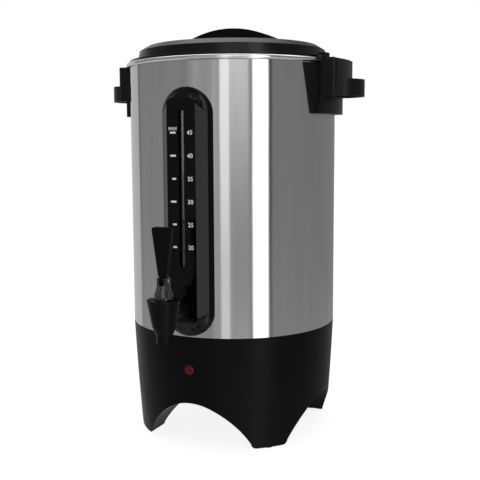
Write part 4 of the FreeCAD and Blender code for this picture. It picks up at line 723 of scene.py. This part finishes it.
@dataclass(frozen=True)
class Floor:
    """Plain floor that looks white and keeps a faint shadow."""

    size: float = 14.0
    tone: float = 0.36
    glow: float = 0.87
    shadow: float = 0.22

    def surface(self) -> bpy.types.Material:
        """A glow with a faint shadow for the camera, and a matt floor for the light that falls on it.

        Returns:
            The material.
        """
        recipe = Recipe("pale_floor")
        glow = recipe.add("ShaderNodeEmission", Strength=self.glow)
        shadow = recipe.add("ShaderNodeBsdfDiffuse", Color=(self.shadow, self.shadow, self.shadow, 1))
        plain = recipe.add("ShaderNodeBsdfDiffuse", Color=(self.tone, self.tone, self.tone, 1))
        seen = recipe.add("ShaderNodeAddShader")
        mix = recipe.add("ShaderNodeMixShader")
        path = recipe.add("ShaderNodeLightPath")
        recipe.link(glow.outputs[0], seen.inputs[0])
        recipe.link(shadow.outputs[0], seen.inputs[1])
        recipe.link(path.outputs["Is Camera Ray"], mix.inputs["Fac"])
        recipe.link(plain.outputs[0], mix.inputs[1])
        recipe.link(seen.outputs[0], mix.inputs[2])
        recipe.link(mix.outputs[0], recipe.output.inputs["Surface"])
        return recipe.material

    def build(self) -> None:
        """Lay the floor. Shiny surfaces show the studio's panels in its place."""
        bpy.ops.object.select_all(action="DESELECT")
        bpy.ops.mesh.primitive_plane_add(size=self.size, location=(0, 0, 0))
        floor = bpy.context.object
        floor.name = "floor"
        floor.visible_glossy = False
        floor.data.materials.append(self.surface())


@dataclass(frozen=True)
class Reflection:
    """A patch of the studio that shiny surfaces show.

    Directions are in degrees from the front, to the right, and above the horizon. A radiance of 1 is white,
    and a negative one darkens what lies behind it.
    """

    left: float
    right: float
    low: float
    high: float
    radiance: float
    side_blur: float
    end_blur: float


class StudioNodes(Nodes):
    """The world's node tree, with sums over directions."""

    def number(self, operation: str, first: Socket | float, second: Socket | float = 0.0) -> Socket:
        """A Math node over sockets or numbers.

        Args:
            operation: what it does.
            first: its first value.
            second: its second value.

        Returns:
            The result.
        """
        node = self.add("ShaderNodeMath", operation=operation)
        for socket, value in zip(node.inputs, (first, second)):
            if isinstance(value, (int, float)):
                socket.default_value = value
            else:
                self.link(value, socket)
        return node.outputs[0]

    def rise(self, angle: Socket, start: float, blur: float) -> Socket:
        """A smooth step from 0 to 1 about an angle.

        Args:
            angle: the direction's angle.
            start: the middle of the step.
            blur: half of its width.

        Returns:
            The step's value.
        """
        node = self.add("ShaderNodeMapRange", interpolation_type="SMOOTHSTEP")
        node.inputs["From Min"].default_value = start - blur
        node.inputs["From Max"].default_value = start + blur
        self.link(angle, node.inputs["Value"])
        return node.outputs["Result"]

    def between(self, angle: Socket, low: float, high: float, blur: float) -> Socket:
        """1 between two angles and 0 outside, with soft ends.

        Args:
            angle: the direction's angle.
            low: where it starts.
            high: where it ends.
            blur: half of the width of each soft end.

        Returns:
            The value.
        """
        return self.number("SUBTRACT", self.rise(angle, low, blur), self.rise(angle, high, blur))


@dataclass(frozen=True)
class Studio:
    """White behind the object, even light, and the panels of a photo studio for shiny surfaces to show."""

    light: float = 0.92
    room: float = 0.248
    panels: tuple[Reflection, ...] = (
        Reflection(-160.0, -104.3, -60, 60, 0.33, 0.8, 10),
        Reflection(-104.0, -100.5, -2, 60, -0.12, 0.6, 5),
        Reflection(-99.0, -10.0, -60, 60, 0.05, 6.0, 10),
        Reflection(-102.0, -22.0, -60, -9, 0.07, 4.0, 4),
        Reflection(-22.0, 10.0, -60, 60, 0.18, 7.0, 10),
        Reflection(-22.0, 10.0, -60, -4, -0.12, 7.0, 3),
        Reflection(10.5, 20.5, -6, 60, 1.1, 1.0, 4),
        Reflection(10.5, 20.5, -60, -6, 0.16, 1.0, 4),
        Reflection(10.5, 20.5, -60, -13, 0.6, 1.0, 2),
        Reflection(2.0, 10.5, -60, 60, 0.12, 2.0, 10),
        Reflection(20.5, 42.0, 1, 60, 0.85, 2.0, 4),
        Reflection(24.0, 40.0, -12, 0, -0.1, 3.0, 3),
        Reflection(20.5, 42.0, -60, -13, 0.35, 2.0, 2),
        Reflection(46.0, 63.2, -60, 60, 2.0, 1.0, 10),
        Reflection(63.3, 67.6, -13, 60, -0.17, 0.4, 2),
        Reflection(68.0, 181.0, -60, -12, 0.09, 3.0, 3),
        Reflection(-181.0, 181.0, -91, -32, 0.25, 1.0, 6),
        Reflection(-181.0, -100.0, 45, 86, 1.6, 12.0, 9),
        Reflection(110.0, 181.0, 45, 86, 1.6, 12.0, 9),
    )

    def reflected(self, nodes: StudioNodes) -> Socket:
        """The radiance of the room and its panels in each direction.

        Args:
            nodes: the world's node tree.

        Returns:
            The radiance.
        """
        way = nodes.add("ShaderNodeTexCoord").outputs["Generated"]
        parts = nodes.add("ShaderNodeSeparateXYZ")
        nodes.link(way, parts.inputs[0])
        to_front = nodes.number("MULTIPLY", parts.outputs["Y"], -1.0)
        aside = nodes.number("DEGREES", nodes.number("ARCTAN2", parts.outputs["X"], to_front))
        above = nodes.number("DEGREES", nodes.number("ARCSINE", parts.outputs["Z"]))
        total = self.room
        for panel in self.panels:
            across = nodes.between(aside, panel.left, panel.right, panel.side_blur)
            upright = nodes.between(above, panel.low, panel.high, panel.end_blur)
            patch = nodes.number("MULTIPLY", nodes.number("MULTIPLY", across, upright), panel.radiance)
            total = nodes.number("ADD", total, patch)
        return total

    def build(self) -> None:
        """Set the world: white to the camera and through glass, panels in shine, and even light elsewhere."""
        world = bpy.data.worlds.new("studio")
        bpy.context.scene.world = world
        world.use_nodes = True
        nodes = StudioNodes(world.node_tree)
        path = nodes.add("ShaderNodeLightPath")
        seen = nodes.number("MAXIMUM", path.outputs["Is Camera Ray"], path.outputs["Is Transmission Ray"])
        change = nodes.number("SUBTRACT", self.reflected(nodes), self.light)
        shine = nodes.number("MULTIPLY", change, path.outputs["Is Glossy Ray"])
        level = nodes.number("ADD", shine, self.light)
        white = nodes.number("MULTIPLY", nodes.number("SUBTRACT", 1.0, level), seen)
        strength = nodes.number("MAXIMUM", nodes.number("ADD", level, white), 0.0)
        background = world.node_tree.nodes["Background"]
        background.inputs["Color"].default_value = (1, 1, 1, 1)
        nodes.link(strength, background.inputs["Strength"])


@dataclass(frozen=True)
class PhotoCamera:
    """The camera that sees the urn as the photograph does."""

    place: tuple[float, float, float] = (0.3839, -0.8425, 0.3199)
    azimuth: float = 24.5
    pitch: float = 6.97
    roll: float = -0.34
    lens: float = 61.84
    sensor: float = 36
    sideways: float = 0.01365
    nearest: float = 10 * MM

    def build(self) -> None:
        """Make the camera and use it."""
        camera = bpy.data.cameras.new("photo_camera")
        camera.lens = self.lens
        camera.sensor_width = self.sensor
        camera.shift_x = self.sideways
        camera.clip_start = self.nearest
        thing = bpy.data.objects.new("photo_camera", camera)
        bpy.context.scene.collection.objects.link(thing)
        turn = Matrix.Rotation(math.radians(self.azimuth), 4, "Z")
        tilt = Matrix.Rotation(math.radians(90 - self.pitch), 4, "X")
        lean = Matrix.Rotation(math.radians(self.roll), 4, "Z")
        thing.matrix_world = Matrix.Translation(self.place) @ turn @ tilt @ lean
        bpy.context.scene.camera = thing


def main() -> None:
    """Build everything in order."""
    logging.basicConfig(level=logging.INFO, format="%(name)s: %(message)s")
    PhotoCamera().build()
    Floor().build()
    Studio().build()
    wardrobe = Wardrobe()
    wardrobe.dress_all()
    for assembly in (Skirt, Gauge, Handles, Lid, Tap, Inlet, GaugePrint):
        assembly(wardrobe).build()
    bpy.context.scene.view_settings.view_transform = "Standard"


if __name__ == "__main__":
    main()
